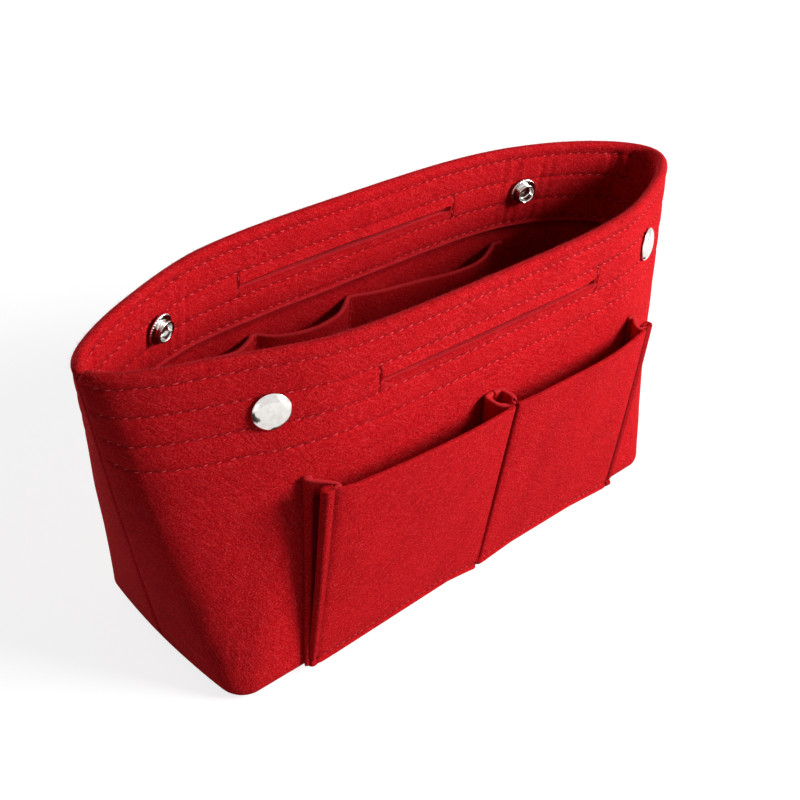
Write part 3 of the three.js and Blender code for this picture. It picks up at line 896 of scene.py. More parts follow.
@dataclass(frozen=True)
class Stitch:
    """One visible stitch of thread: a short slanting arch that dives into the felt at both ends."""

    pitch: float = 4.6 * MM
    length: float = 2.4 * MM
    radius: float = 0.25 * MM
    rise: float = 0.34 * MM
    slant: float = 0.20
    hole: float = 0.30 * MM
    dip: float = 0.22 * MM
    lean_spread: float = 0.05
    length_spread: float = 0.07
    side_spread: float = 0.09 * MM
    hole_sides: int = 8
    sides: int = 6
    rings: int = 6

    def template(self) -> tuple[Array, Array, Array, Array]:
        """The arch and its needle hole in local axes: along the row, across it, out of the felt.

        The arch's middle line is z = rise (1 - (2v)^2) - dip, its radius narrows to the ends, and the
        hole is a flat lens beside it, coloured as painted shade of the needle hole.

        Returns:
            Points, quads, triangles and a 0 to 1 mark of painted shade: 1 on the diving ends and on the hole.
        """
        v = np.linspace(-0.5, 0.5, self.rings)
        turn = np.arange(self.sides) * 2 * np.pi / self.sides
        radius = self.radius * np.sqrt(np.maximum(0.02, 1 - (1.9 * v) ** 2))[:, None]
        x = v[:, None] * self.length + 0 * turn
        y = v[:, None] * self.length * self.slant + radius * np.cos(turn)
        z = (self.rise * (1 - (2 * v) ** 2) - self.dip)[:, None] + radius * np.sin(turn)
        tube = np.stack([x, y, z], axis=-1).reshape(-1, 3)
        quads = grid_faces(self.rings, self.sides, True).reshape(-1, 4)
        j = np.arange(1, self.sides - 1)
        first = np.stack([0 * j, j, j + 1], axis=-1)
        last = (self.rings - 1) * self.sides + first[:, ::-1]
        # Painted shade mark: 1 on the ends that dive into the felt, and on the whole hole lens below.
        deep = np.repeat(smooth((np.abs(v) - 0.36) / 0.14), self.sides)
        count, middle = self.hole_sides, self.pitch / 2
        k = np.arange(count)
        turn = k * 2 * np.pi / count
        lens = np.stack([middle + self.hole * 1.25 * np.cos(turn), self.hole * 0.75 * np.sin(turn),
                         np.full(count, 0.02 * MM)], axis=-1)
        poles = np.array([[middle, 0, 0.07 * MM], [middle, 0, -0.2 * MM]])
        this, after, pole = len(tube) + k, len(tube) + (k + 1) % count, np.full(count, len(tube) + count)
        upper = np.stack([this, after, pole], axis=-1)
        lower = np.stack([after, this, pole + 1], axis=-1)
        deep = np.concatenate([deep, np.ones(count + 2)])
        return np.vstack([tube, lens, poles]), quads[:, ::-1], np.vstack([first, last, upper, lower]), deep

    def sew(self, path: Array, normals: Array, seed: int) -> Skin:
        """Copies the stitch along a path: point = spot + x T + y B + z N.

        Args:
            path: points on the felt, closely spaced.
            normals: outward normals there, or one for all.
            seed: fixes the small differences between stitches.

        Returns:
            The row's skin.
        """
        draw = np.random.default_rng(seed)
        run = run_along(path)
        count = max(1, int(run[-1] / self.pitch))
        at = (np.arange(count) + 0.5) * run[-1] / count
        apart = 0.4 * self.pitch
        tangent = unit(read_at(at + apart, run, path) - read_at(at - apart, run, path))
        normal = read_at(at, run, np.broadcast_to(normals, path.shape))
        normal = unit(normal - tangent * np.sum(normal * tangent, axis=1, keepdims=True))
        across = np.cross(normal, tangent)
        points, quads, tris, deep = self.template()
        lean = draw.normal(0, self.lean_spread, count)[:, None]
        long = draw.normal(1, self.length_spread, count)[:, None]
        side = draw.normal(0, self.side_spread, count)[:, None]
        x = points[None, :, 0] * long
        y = points[None, :, 1] + lean * points[None, :, 0] + side
        z = np.broadcast_to(points[None, :, 2], x.shape)
        placed = read_at(at, run, path)[:, None] + x[..., None] * tangent[:, None]
        placed = placed + y[..., None] * across[:, None] + z[..., None] * normal[:, None]
        return repeated(placed, quads, tris, deep)


@dataclass(frozen=True)
class Fuzz:
    """Loose wool fibres along an edge of felt: thin bent spikes that taper to a point."""

    length: float = 1.15 * MM
    radius: float = 0.035 * MM
    spacing: float = 0.42 * MM
    spread: float = 0.75
    shortest: float = 0.35
    bend: float = 0.45
    taper: float = 0.8
    root: float = 0.15 * MM
    rings: int = 3
    sides: int = 3

    def grow(self, path: Array, normals: Array, seed: int) -> Skin:
        """Scatters fibres along a path: point = spot + v length D + v^2 length bend + thin ring.

        Args:
            path: points on the felt, closely spaced.
            normals: directions out of the felt there, or one for all.
            seed: fixes the draw.

        Returns:
            The fibres' skin.
        """
        draw = np.random.default_rng(seed)
        run = run_along(path)
        count = int(run[-1] / self.spacing)
        at = draw.uniform(0, run[-1], count)
        normal = unit(read_at(at, run, np.broadcast_to(normals, path.shape)))
        stray = draw.normal(0, self.spread, (count, 3))
        ahead = unit(normal + stray - normal * np.minimum(0, np.sum(normal * stray, axis=1, keepdims=True)))
        first = unit(np.cross(ahead, draw.normal(0, 1, (count, 3))))
        second = np.cross(ahead, first)
        long = self.length * draw.uniform(self.shortest, 1.0, count)
        bend = draw.normal(0, self.bend, (count, 3))
        v = np.linspace(0, 1, self.rings)
        turn = np.arange(self.sides) * 2 * np.pi / self.sides
        ring = first[:, None] * np.cos(turn)[:, None] + second[:, None] * np.sin(turn)[:, None]
        spine = (ahead[:, None] * v[:, None] + bend[:, None] * v[:, None] ** 2) * long[:, None, None]
        thick = self.radius * (1 - self.taper * v)
        start = read_at(at, run, path) - normal * self.root
        points = start[:, None, None] + spine[:, :, None] + thick[:, None, None] * ring[:, None]
        quads = grid_faces(self.rings, self.sides, True).reshape(-1, 4)[:, ::-1]
        ends = np.array([[0, 1, 2], [2, 1, 0]]) + np.array([[0], [(self.rings - 1) * self.sides]])
        return repeated(points, quads, ends, np.zeros(self.rings * self.sides))


STITCH = Stitch()
FUZZ = Fuzz()


# ---- The felt body ----


class Side(Enum):
    """A side as the sign of an axis."""

    @property
    def word(self) -> str:
        """The side's name in pieces and nodes."""
        return self.name.lower()


class Hand(Side):
    """Left or right, as the sign of X."""

    LEFT = -1
    RIGHT = 1


class Face(Side):
    """Front or back, as the sign of Y, with the body that swings."""

    FRONT = -1
    BACK = 1

    @property
    def body(self) -> str:
        """Name of the swinging body."""
        return f"{self.word}_wall"


def by_hand(left: object, right: object) -> object:
    """A dataclass field with a value for each hand."""
    return field(default_factory=lambda: {Hand.LEFT: left, Hand.RIGHT: right})


class Seed(IntEnum):
    """Starts of the random draws."""

    QUARTER = 11
    QUARTER_QUICK = 40
    PANEL = 71
    STRIP = 91
    ROWS = 300
    POCKET_SEAMS = 500
    POCKET_TOP = 540
    POCKET_SIDE = 550
    STRIP_SEAMS = 700
    STRIP_TOP = 740


def to_quarter(points: Array, hand: Hand, face: Face) -> Array:
    """Mirrors points of the left front quarter to another quarter."""
    return points * np.array([-hand.value, -face.value, 1.0])


@dataclass
class FeltBody:
    """The tub: four quarters of one felt skin each, from the foot's fold over the rim to the hem's edge.

    A quarter's section climbs the outer face, turns over the rim in a half round, comes down the hem to
    its cut edge, steps back to the wall's inner face and goes down to the foot. Relief moves each face
    along its normal: sewn rows sink in, slow swells and puckers run between them.
    """

    wardrobe: Wardrobe
    foot: float = 8 * MM
    roll: float = HEM_FACE / 2
    roll_steps: int = 7
    seam_round: float = 1.1 * MM
    rim_dip: dict[Hand, float] = by_hand(3.4 * MM, 0.0)
    rim_dip_run: float = 5 * MM
    slit_gap: float = 0.95 * MM
    slit_belly: float = 0.50 * MM
    slit_gape: float = 0.70 * MM
    tip_run: float = 40 * MM
    seam_lean: float = 0.22
    edge_radius: float = 6 * MM
    foot_inset: float = 8.2 * MM
    row_starts: tuple[float, ...] = (5.5 * MM, 4.5 * MM, 4.0 * MM, 4.0 * MM)
    crease_table: tuple[tuple[float, float, float, float], ...] = (
        (91.5, 1.2, 0.30, 0.04), (97.5, 1.1, 0.55, 0.06), (101.0, 1.0, 0.50, -0.05), (113.0, 1.1, 0.45, 0.04),
        (118.0, 1.3, 0.30, 0.0), (145.5, 1.1, 0.8, 0.03), (149.0, 1.2, 1.1, -0.03), (152.8, 1.2, 1.2, 0.04))

    def columns(self) -> Array:
        """Shares of the rim for the left half's columns, close together at the seam and the corner."""
        tip = OUTLINE.tip_share * np.linspace(0, 1, 27) ** 1.5
        corner = np.linspace(OUTLINE.tip_share, OUTLINE.corner_share, 54)[1:]
        near = -(SLIT_HALF + WELT_GAP) + np.array([-1.5, -0.9, -0.5, -0.2, 0.2, 0.5, 0.9]) * MM
        welt = OUTLINE.share_at(near, SLIT_HEIGHT)
        slit = float(OUTLINE.share_at(-SLIT_HALF, SLIT_HEIGHT))
        wall = np.linspace(OUTLINE.corner_share, welt[0] - 0.003, 38)[1:]
        middle = np.linspace(slit, 0.5, 46)
        return np.concatenate([tip, corner, wall, welt, middle])

    def levels(self) -> tuple[Array, Array]:
        """Heights and depths of the section's inner side from the rim's springing down to the foot.

        Returns:
            Heights and depths; the outer side uses the same heights at depth 0.
        """
        top = OUTLINE.height - self.roll
        rows = [OUTLINE.height - d + k * MM for d in ROW_DEPTHS for k in (-1.4, -0.8, -0.35, 0, 0.35, 0.8, 1.4)]
        slit = [SLIT_HEIGHT + k * MM for k in (-3, -1.9, -1.15, -0.6, 0.6, 1.15, 1.9, 3)]
        rows = [h for h in rows if HEM_FOOT + 1.0 * MM < h < top - 0.2 * MM]
        clear = lambda h: min(abs(h - r) for r in rows + slit) > 0.55 * MM and abs(h - SLIT_HEIGHT) > 3 * MM
        spaced = [h for h in np.arange(HEM_FOOT + 1.2 * MM, top, 1.7 * MM) if clear(h)]
        hem = np.array([top, *sorted({round(h, 7) for h in [*spaced, *rows, *slit]}, reverse=True)])
        edge_heights = HEM_FOOT + np.array([0.7, 0.25, 0.04, 0.0, 0.0, -0.25, -0.8]) * MM
        edge_depths = np.array([5.3, 5.2, 4.85, 4.2, 2.9, 2.55, 2.5]) * MM
        wall = np.append(np.linspace(HEM_FOOT - 3.5 * MM, self.foot + 0.06 * MM, 44), self.foot)
        heights = np.concatenate([hem, edge_heights, wall])
        depths = np.concatenate([np.full(len(hem), HEM_FACE), edge_depths, np.full(len(wall), FELT)])
        return heights, depths

    def section(self) -> tuple[Array, Array, Array]:
        """The closed section: up the outer face, over the rim in a half round, down the inner side.

        Returns:
            Heights, depths, and which points lie outside.
        """
        heights, depths = self.levels()
        rise = (np.arange(self.roll_steps) + 0.5) / self.roll_steps * np.pi / 2
        roll_depth = self.roll * (1 - np.cos(rise))
        climb = np.concatenate([heights[::-1], OUTLINE.height - self.roll + self.roll * np.sin(rise)])
        section_d = np.concatenate([np.zeros(len(heights)), roll_depth, HEM_FACE - roll_depth[::-1], depths])
        return np.concatenate([climb, climb[::-1]]), section_d, np.arange(2 * len(climb)) < len(climb)

    @staticmethod
    def all_round(shares: Array) -> Array:
        """The left half's shares, then the right half's, which mirror them."""
        return np.concatenate([shares, 1 - shares[-2::-1]])

    def quarter(self, hand: Hand, face: Face) -> Piece:
        """Builds one quarter.

        Args:
            hand: which end.
            face: which long side.

        Returns:
            The piece, dressed, its transform baked.
        """
        seed = Seed.QUARTER + 2 * (hand is Hand.RIGHT) + (face is Face.BACK)
        section_h, section_d, outer = self.section()
        s, h = np.meshgrid(self.columns(), section_h, indexing="ij")
        run = s * OUTLINE.girth
        x = OUTLINE.level(s, h)[..., 0]
        h = self.opened(x, h, hand)
        d = section_d + np.where(outer, -1, 1) * self.relief(run, x, h, outer, face, seed)
        near = np.clip(1 - run / self.seam_round, 0, 1)
        d += np.where(outer, self.seam_round * (1 - np.sqrt(1 - near**2)), 0)
        over = smooth((h - (OUTLINE.height - 9 * MM)) / (9 * MM))
        dip = self.rim_dip[hand] * np.clip(1 - run / self.rim_dip_run, 0, 1) ** 2 * over
        points = OUTLINE.side(s, h - dip, d)
        points[0, :, 1] = -SEAM_GAP
        points[..., 1] = np.minimum(points[..., 1], -SEAM_GAP)
        holes = self.slit_cells(x, section_h)
        slit = self.slit_edge(holes)
        lower = slit * (h < SLIT_HEIGHT)
        # The hem's cut face and the slit's lower lip are paler cut wool; just above the hem's edge inside sits a
        # painted highlight.
        cut = (np.abs(section_h - HEM_FOOT) < 0.6 * MM) & ~outer
        raw = np.maximum(cut * 1.0, np.maximum(0.5 * lower, self.hem_lip_highlight(run, h, outer)))
        # Painted shade: under the hem's edge inside, along the sewn rows (which also stand for compressed felt), at
        # the welt's end seam, below the slit, and on the slit's upper lip as the gap's shadow.
        pressed = np.maximum(self.below_hem(run, h, outer), self.pressed(run, x, h))
        values = {"raw": raw, "pressed": np.maximum(slit - lower, pressed)}
        along = run if hand is Hand.LEFT else OUTLINE.girth - run
        uv = np.stack([along + (face is Face.BACK) * 0.5, h + 0.3 * ~outer], axis=-1)
        skin = closed_loft(EASE(to_quarter(points, hand, face)), uv, values, holes)
        piece = self.wardrobe.dress(skin.build(f"{hand.word}_{face.word}_felt"), Finish.FELT)
        self.hang(piece)
        side = f"{hand.word}_{face.word}_side"
        names = [side, f"{side}_hem"]
        if hand is Hand.LEFT:
            names += [face.body, f"{face.word}_hem"]
        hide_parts(*names)
        return piece

    def hang(self, piece: Piece) -> None:
        """Bakes the piece's transform into its mesh.

        Args:
            piece: the finished piece.
        """
        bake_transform(piece)

    def opened(self, x: Array, h: Array, hand: Hand) -> Array:
        """Spreads the slit's two lips: the row next to it moves off the middle by gap + belly (1 - u^2).

        Args:
            x: place along the wall.
            h: nominal heights.
            hand: the slit gapes wider at its right end.

        Returns:
            The moved heights.
        """
        half_gap = 0.6 * MM  # nominal distance of the first row from the slit's middle
        off = (h - SLIT_HEIGHT) / half_gap
        before_end = SLIT_HALF - np.abs(x)
        wanted = self.slit_gap + self.slit_belly * (1 - np.clip(np.abs(x) / SLIT_HALF, 0, 1) ** 2)
        wanted = wanted + (hand is Hand.RIGHT) * self.slit_gape * bump((before_end - 2.5 * MM) / (2.6 * MM))
        fade = bump(np.maximum(np.abs(off) - 1, 0) / 2.5) * smooth((before_end + MM) / MM)
        return h + np.sign(off) * (wanted - half_gap) * fade * (np.abs(off) > 0.5)

    def slit_cells(self, x: Array, section_h: Array) -> Array:
        """Marks the quads of the climbing side that the slit takes out.

        Args:
            x: place of every grid point along the wall.
            section_h: nominal heights of the section.

        Returns:
            True for every quad left out.
        """
        rings, around = x.shape
        cells = np.zeros((rings - 1, around), bool)
        above = section_h[: around // 2] > SLIT_HEIGHT
        cells[x[1:, np.argmax(above) - 1] > -SLIT_HALF + 0.05 * MM, np.argmax(above) - 1] = True
        return cells

    def slit_edge(self, holes: Array) -> Array:
        """Marks the points on the slit's rim, on both faces.

        Args:
            holes: the quads left out.

        Returns:
            1 at the slit's edge, 0 elsewhere.
        """
        rings, around = holes.shape[0] + 1, holes.shape[1]
        mark = np.zeros((rings, around))
        i, j = np.nonzero(holes)
        for a in (0, 1):
            for b in (0, 1):
                mark[i + a, j + b] = 1.0
                mark[i + a, around - 1 - j - b] = 1.0
        return mark

    def relief(self, run: Array, x: Array, h: Array, outer: Array, face: Face, seed: int) -> Array:
        """How far the felt stands out of its plain surface.

        Args:
            run: length along the rim from the end seam.
            x: place along the wall.
            h: heights.
            outer: true on the outside.
            face: front or back.
            seed: fixes the unevenness.

        Returns:
            The relief, positive away from the felt's core.
        """
        top = OUTLINE.height
        out = np.zeros(h.shape)
        sewn = self.sewn(run, h)
        for depth in ROW_DEPTHS:
            off = h - (top - depth)
            out -= (ROW_SINK * bump(off / (0.85 * MM)) + 0.22 * MM * bump(off / (2.6 * MM))) * sewn
        free = smooth((top - self.roll - h) / (5 * MM)) * smooth((h - self.foot) / (14 * MM))
        free = free * smooth(run / (14 * MM)) * smooth((OUTLINE.girth / 2 - run) / (10 * MM))
        slow = Swell(seed, 110 * MM, 40 * MM)(run, h)
        quick = Swell(seed + Seed.QUARTER_QUICK, 26 * MM, 11 * MM)(run, h)
        out += (0.42 * MM * slow * np.where(outer, 1, -1) + 0.10 * MM * quick) * free
        off = h - SLIT_HEIGHT
        past_slit = np.abs(x) - SLIT_HALF - WELT_GAP
        out += np.where(off > 0, 0.55 * MM, -0.80 * MM) * bump(off / (3.2 * MM)) * smooth(-past_slit / (2.5 * MM))
        out -= 0.65 * MM * bump(past_slit / (0.5 * MM)) * self.welt(h)
        if face is Face.BACK:
            out += np.where(outer, 0.0, self.creases(x, h))
        return out

    @staticmethod
    def sewn(run: Array, h: Array) -> Array:
        """1 on the hem away from the end seam, where the rows are sewn, 0 outside."""
        return smooth((h - HEM_FOOT - 0.5 * MM) / (1.5 * MM)) * smooth((run - 1.5 * MM) / (3 * MM))

    def welt(self, h: Array) -> Array:
        """1 between the second and the third sewn row, 0 outside."""
        top = OUTLINE.height
        return smooth((h - top + ROW_DEPTHS[2] + 1.2 * MM) / MM) * smooth((top - ROW_DEPTHS[1] + 1.2 * MM - h) / MM)

    def creases(self, x: Array, h: Array) -> Array:
        """Upright creases drawn into the back hem by its stud and by the tight corner.

        Each is a narrow trough minus a wider, shallower swell, strongest between the sewn rows.

        Args:
            x: place along the wall, negative on this quarter.
            h: heights.

        Returns:
            The relief.
        """
        out = np.zeros(h.shape)
        hem = smooth((h - HEM_FOOT) / (3 * MM)) * smooth((OUTLINE.height - self.roll - h) / (3 * MM))
        for place, wide, deep, tilt in self.crease_table:
            off = (np.abs(x) - place * MM - tilt * (h - 0.128)) / (wide * MM)
            out -= deep * MM * (bump(off) - 0.35 * bump((off - 1.9) / 1.3)) * hem
        return out

    def pressed(self, run: Array, x: Array, h: Array) -> Array:
        """Painted shade along the sewn rows, at the welt's end seam and in a band below the slit, 0 to 1;
        at the rows it also stands for compressed felt.

        Args:
            run: length along the rim from the end seam.
            x: place along the wall.
            h: heights.

        Returns:
            The share.
        """
        rows = [0.5 * bump((h - OUTLINE.height + depth) / (0.5 * MM)) * self.sewn(run, h) for depth in ROW_DEPTHS]
        end = 0.95 * bump((np.abs(x) - SLIT_HALF - WELT_GAP) / (0.55 * MM)) * self.welt(h)
        slit = bump((h - SLIT_HEIGHT + 2.2 * MM) / (1.1 * MM)) * (np.abs(x) < SLIT_HALF)
        return np.maximum.reduce([*rows, end, 0.45 * slit])

    def below_hem(self, run: Array, h: Array, outer: Array) -> Array:
        """Painted shadow on the wall inside, just under the hem's overhanging edge, 0 to 1."""
        fold = 0.9 * smooth((h - HEM_FOOT + 6.0 * MM) / (4.5 * MM)) * (h < HEM_FOOT - 0.2 * MM)
        return fold * ~outer * smooth(run / (6 * MM))

    def hem_lip_highlight(self, run: Array, h: Array, outer: Array) -> Array:
        """Painted highlight along the lit hem edge inside, in the paler cut colour, 0 to 1."""
        return 0.8 * bump((h - HEM_FOOT - 0.5 * MM) / (0.8 * MM)) * ~outer * smooth(run / (6 * MM))

    def rows(self, hand: Hand, face: Face) -> Piece:
        """Sews the rim's rows on one quarter, outside and on the hem, and the seam at the slit's end.

        Args:
            hand: which end.
            face: which long side.

        Returns:
            The piece.
        """
        seed = Seed.ROWS + 20 * (hand is Hand.RIGHT) + 10 * (face is Face.BACK)
        lines = [(np.linspace(start / OUTLINE.girth, 0.5, 260), np.full(260, OUTLINE.height - depth))
                 for start, depth in zip(self.row_starts, ROW_DEPTHS)]
        end = np.linspace(OUTLINE.height - ROW_DEPTHS[2], OUTLINE.height - ROW_DEPTHS[1], 40)
        lines.append((OUTLINE.share_at(-SLIT_HALF - WELT_GAP, end), end))
        skins = [self.line(share, height, inside, seed + k + 5 * inside)
                 for k, (share, height) in enumerate(lines) for inside in (False, True)]
        share = np.linspace(0.5 * MM / OUTLINE.girth, 0.5, 400)
        for k, turn in enumerate((0.35, 1.0, 1.57, 2.2)):
            height = OUTLINE.height - self.roll * (1 - np.sin(turn))
            path = OUTLINE.side(share, height, self.roll * (1 - np.cos(turn)))
            plan = OUTLINE.normal(share, OUTLINE.height) * np.cos(turn)
            normals = np.column_stack([plan, np.full(len(plan), np.sin(turn))])
            skins.append(FUZZ.grow(path, normals, seed + 12 + k))
        skin = joined(skins)
        skin.points = EASE(to_quarter(skin.points, hand, face))
        if hand.value * face.value > 0:
            skin.faces = [f[:, ::-1] for f in skin.faces]
        piece = self.wardrobe.dress(skin.build(f"{hand.word}_{face.word}_rows"), Finish.THREAD)
        self.hang(piece)
        return piece

    def line(self, share: Array, height: Array, inside: bool, seed: int) -> Skin:
        """Sews one line on the outer face or the hem of the left front quarter.

        Args:
            share: the line's shares of the rim.
            height: its heights.
            inside: on the hem instead of the outside.
            seed: fixes the stitches.

        Returns:
            The line's skin.
        """
        depth = HEM_FACE - ROW_SINK - 0.2 * MM if inside else ROW_SINK + 0.2 * MM
        path = OUTLINE.side(share, height, depth)
        plan = OUTLINE.normal(share, height) * (-1 if inside else 1)
        return STITCH.sew(path, np.column_stack([plan, np.zeros(len(plan))]), seed)

    def tray(self) -> Piece:
        """Builds the foot that turns under: a ring from the walls' lower edge round to the bottom seam.

        The section is a quarter round of the edge radius outside and a parallel one inside, carried
        round the whole outline, so the ring closes on itself.

        Returns:
            The piece.
        """
        turn = np.linspace(np.pi / 2, 0, 9)
        sides = []
        for depth, lap_heights in ((0.0, (0.7, 0.1, 0.0)), (FELT, (1.8, 2.4, 2.5))):
            radius = self.edge_radius - depth
            lap = [(self.foot_inset + inset * MM, z * MM) for inset, z in zip((0.1, -0.3, -0.9), lap_heights)]
            arc = [(self.edge_radius - radius * np.cos(t), self.edge_radius - radius * np.sin(t)) for t in turn]
            sides.append([*lap, *arc, (depth, 7 * MM), (depth, self.foot - 0.06 * MM), (depth, self.foot)])
        section = np.array(sides[0] + sides[1][::-1])
        s, d = np.meshgrid(self.all_round(self.columns()), section[:, 0], indexing="ij")
        front = OUTLINE.side(s, np.broadcast_to(section[:, 1], s.shape), d)
        front[[0, -1], :, 1] = 0
        points = np.concatenate([front, front[-2:0:-1] * BACKWARDS])
        rings, around = points.shape[:2]
        quads = grid_faces(rings + 1, around, True) % (rings * around)
        run = np.concatenate([s, 2 - s[-2:0:-1]]) * OUTLINE.girth
        uv = np.stack([run, np.broadcast_to(section[:, 1], run.shape)], axis=-1)
        skin = outward(Skin(EASE(points.reshape(-1, 3)), [quads.reshape(-1, 4)], uv.reshape(-1, 2),
                            {"raw": np.zeros(rings * around)}))
        piece = self.wardrobe.dress(skin.build("felt_foot"), Finish.FELT)
        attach(piece, "base")
        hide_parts("base_panel")
        return piece

    def floor_panel(self) -> Piece:
        """Builds the bottom panel inside the foot: a flat closed sheet, its rings shrinking to a pole.

        Returns:
            The piece.
        """
        shares = self.all_round(self.columns()[::2])
        edge = OUTLINE.side(shares, 1 * MM, self.foot_inset + 0.25 * MM)
        edge[[0, -1], 1] = 0
        loop = np.concatenate([edge, edge[-2:0:-1] * BACKWARDS])[:, :2]
        scale = [0.04, 0.12, 0.25, 0.4, 0.55, 0.7, 0.82, 0.91, 0.97, 0.992, 0.998, 1.0]
        up = [0.0] * 10 + [0.1 * MM, 0.7 * MM]
        radii = np.array(scale + scale[::-1])
        z = np.array(up + [FELT - v for v in up[::-1]])
        heights = np.broadcast_to(z[:, None, None], (len(z), len(loop), 1))
        points = np.concatenate([loop[None] * radii[:, None, None], heights], axis=-1)
        rings, around = points.shape[:2]
        last = (rings - 1) * around
        j = np.arange(around)
        k = (j + 1) % around
        low = np.stack([j, k, np.full(around, rings * around)], axis=-1)
        high = np.stack([last + k, last + j, np.full(around, rings * around + 1)], axis=-1)
        every = EASE(np.vstack([points.reshape(-1, 3), [[0, 0, 0], [0, 0, FELT]]]))
        faces = [grid_faces(rings, around, True).reshape(-1, 4)[:, ::-1], low, high]
        skin = outward(Skin(every, faces, every[:, :2].copy(), {"raw": np.zeros(len(every))}))
        piece = self.wardrobe.dress(skin.build("felt_bottom"), Finish.FELT)
        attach(piece, "base")
        return piece

    def build(self) -> None:
        """Builds all of the body."""
        for face in Face:
            for hand in Hand:
                self.quarter(hand, face)
                self.rows(hand, face)
        self.tray()
        self.floor_panel()


# ---- Felt strips: pockets, gussets and the inner strip ----


def strip_heights(bottom: float, top: float, count: int, last: float) -> Array:
    """Even heights from a strip's bottom, then one just below its cut edge, and the edge."""
    return np.concatenate([np.linspace(bottom, top - 3 * MM, count), [top - last, top]])


@dataclass
class Strip:
    """A standing strip of felt: a plan path carried up through its height, thick and soft edged."""

    thickness: float
    heights: Array
    edge_steps: int = 4
    # How pale the cut edges turn: paler cut wool, and on the top edge a painted highlight.
    edge_pale_and_highlight: float = 1.0
    cap_turns: tuple[float, ...] = (0.6, 1.15, 1.45)

    def section(self) -> tuple[Array, Array, Array]:
        """Heights and side of the closed section: up one face, over the cut edge, down the other.

        The cut edges are quarter superellipses, (cos a)^0.8 by (sin a)^0.8.

        Returns:
            Height, side from -1 to 1, and how pale each point is made: the cut edges, the top one more as a painted
            highlight.
        """
        a = np.linspace(0, np.pi / 2, self.edge_steps + 2)[1:-1]
        r = 0.30 * self.thickness
        across = 1 - (r / (self.thickness / 2)) * (1 - np.cos(a) ** 0.8)
        rise = r * np.sin(a) ** 0.8
        low, high = self.heights[0], self.heights[-1]
        core = self.heights.copy()
        core[0], core[-1] = low + r, high - r
        h = np.concatenate([(low + r - rise)[::-1], core, high - r + rise])
        side = np.concatenate([across[::-1], np.ones(len(core)), across])
        # Cut edges turn paler, the top one more, as a painted highlight where light falls on it.
        raw = np.concatenate([np.full(len(a), 0.5), np.zeros(len(core) - 1), [0.35], np.linspace(0.8, 1, len(a))])
        there_and_back = lambda half, sign: np.concatenate([half, sign * half[::-1]])
        return there_and_back(h, 1), there_and_back(side, -1), there_and_back(raw, 1) * self.edge_pale_and_highlight

    def loft(self, middle: Callable[[Array, Array], Array], steps: int, swell: Callable | None = None) -> Skin:
        """Lofts the strip: point = middle(p, h) + side * thickness / 2 * plan normal.

        Args:
            middle: the middle line's point for a path parameter 0..1 and a height.
            steps: divisions of the path.
            swell: extra stand-off of the whole strip over (run, height), or None.

        Returns:
            The closed skin.
        """
        h, side, raw = self.section()
        p = np.linspace(0, 1, steps + 1)
        grid_p, grid_h = np.meshgrid(p, h, indexing="ij")
        centre = middle(grid_p, grid_h)
        run = run_along(centre[:, len(h) // 4])
        along = np.gradient(centre[..., :2], axis=0)
        along /= np.maximum(np.linalg.norm(along, axis=-1, keepdims=True), 1e-9)
        level = np.zeros((*along.shape[:2], 1))
        normal = np.concatenate([along[..., 1:], -along[..., :1], level], axis=-1)
        tangent = np.concatenate([along, level], axis=-1)
        lift = 0.0 if swell is None else swell(run[:, None], grid_h)[..., None]
        half = self.thickness / 2
        points = centre + normal * (side[None, :, None] * half + lift)
        caps = []
        for end, sign in ((0, -1.0), (-1, 1.0)):
            ring = [points[end] + tangent[end] * (0.7 * half * np.sin(turn) * sign)
                    + normal[end] * ((np.cos(turn) - 1) * side[:, None] * half) for turn in self.cap_turns]
            caps.append(np.array(ring if sign > 0 else ring[::-1]))
        points = np.concatenate([caps[0], points, caps[1]])
        run = np.pad(run, len(self.cap_turns), "edge")
        uv = np.stack(np.broadcast_arrays(run[:, None], h[None, :]), axis=-1)
        return closed_loft(points, uv, {"raw": np.broadcast_to(raw, points.shape[:2]).copy()})


# Gussets seen from above, first at the open top and last squeezed flat at the foot: distance from the middle
# in mm, share of the pocket's room, and distance from the middle at the foot in mm.
OUTER_GUSSETS = {
    Hand.LEFT: np.array([
        [93.6, 95.2, 95.6, 94.8, 93.2, 91.7, 90.4, 89.3, 88.5, 88.8, 90.6],
        [0.05, 0.05, 0.11, 0.22, 0.35, 0.47, 0.59, 0.70, 0.81, 0.92, 0.985],
        [92.6, 94.2, 95.2, 94.8, 92.6, 90.6, 89.2, 88.4, 88.2, 89.0, 91.2]]),
    Hand.RIGHT: np.array([
        [94.0, 95.6, 96.6, 95.8, 93.9, 92.0, 90.7, 90.1, 90.2, 91.0, 92.4],
        [0.07, 0.07, 0.10, 0.20, 0.35, 0.50, 0.64, 0.77, 0.88, 0.96, 0.985],
        [93.0, 94.0, 94.9, 95.3, 95.2, 94.6, 93.8, 93.0, 92.4, 92.2, 92.4]]),
}
INNER_GUSSET = np.array([
    [0.9, 2.4, 4.0, 4.6, 4.7, 4.7, 4.3, 3.2, 2.2, 1.5],
    [0.06, 0.07, 0.11, 0.22, 0.40, 0.58, 0.72, 0.83, 0.90, 0.96],
    [0.9, 1.2, 1.5, 1.7, 1.7, 1.7, 1.6, 1.5, 1.4, 1.3]])


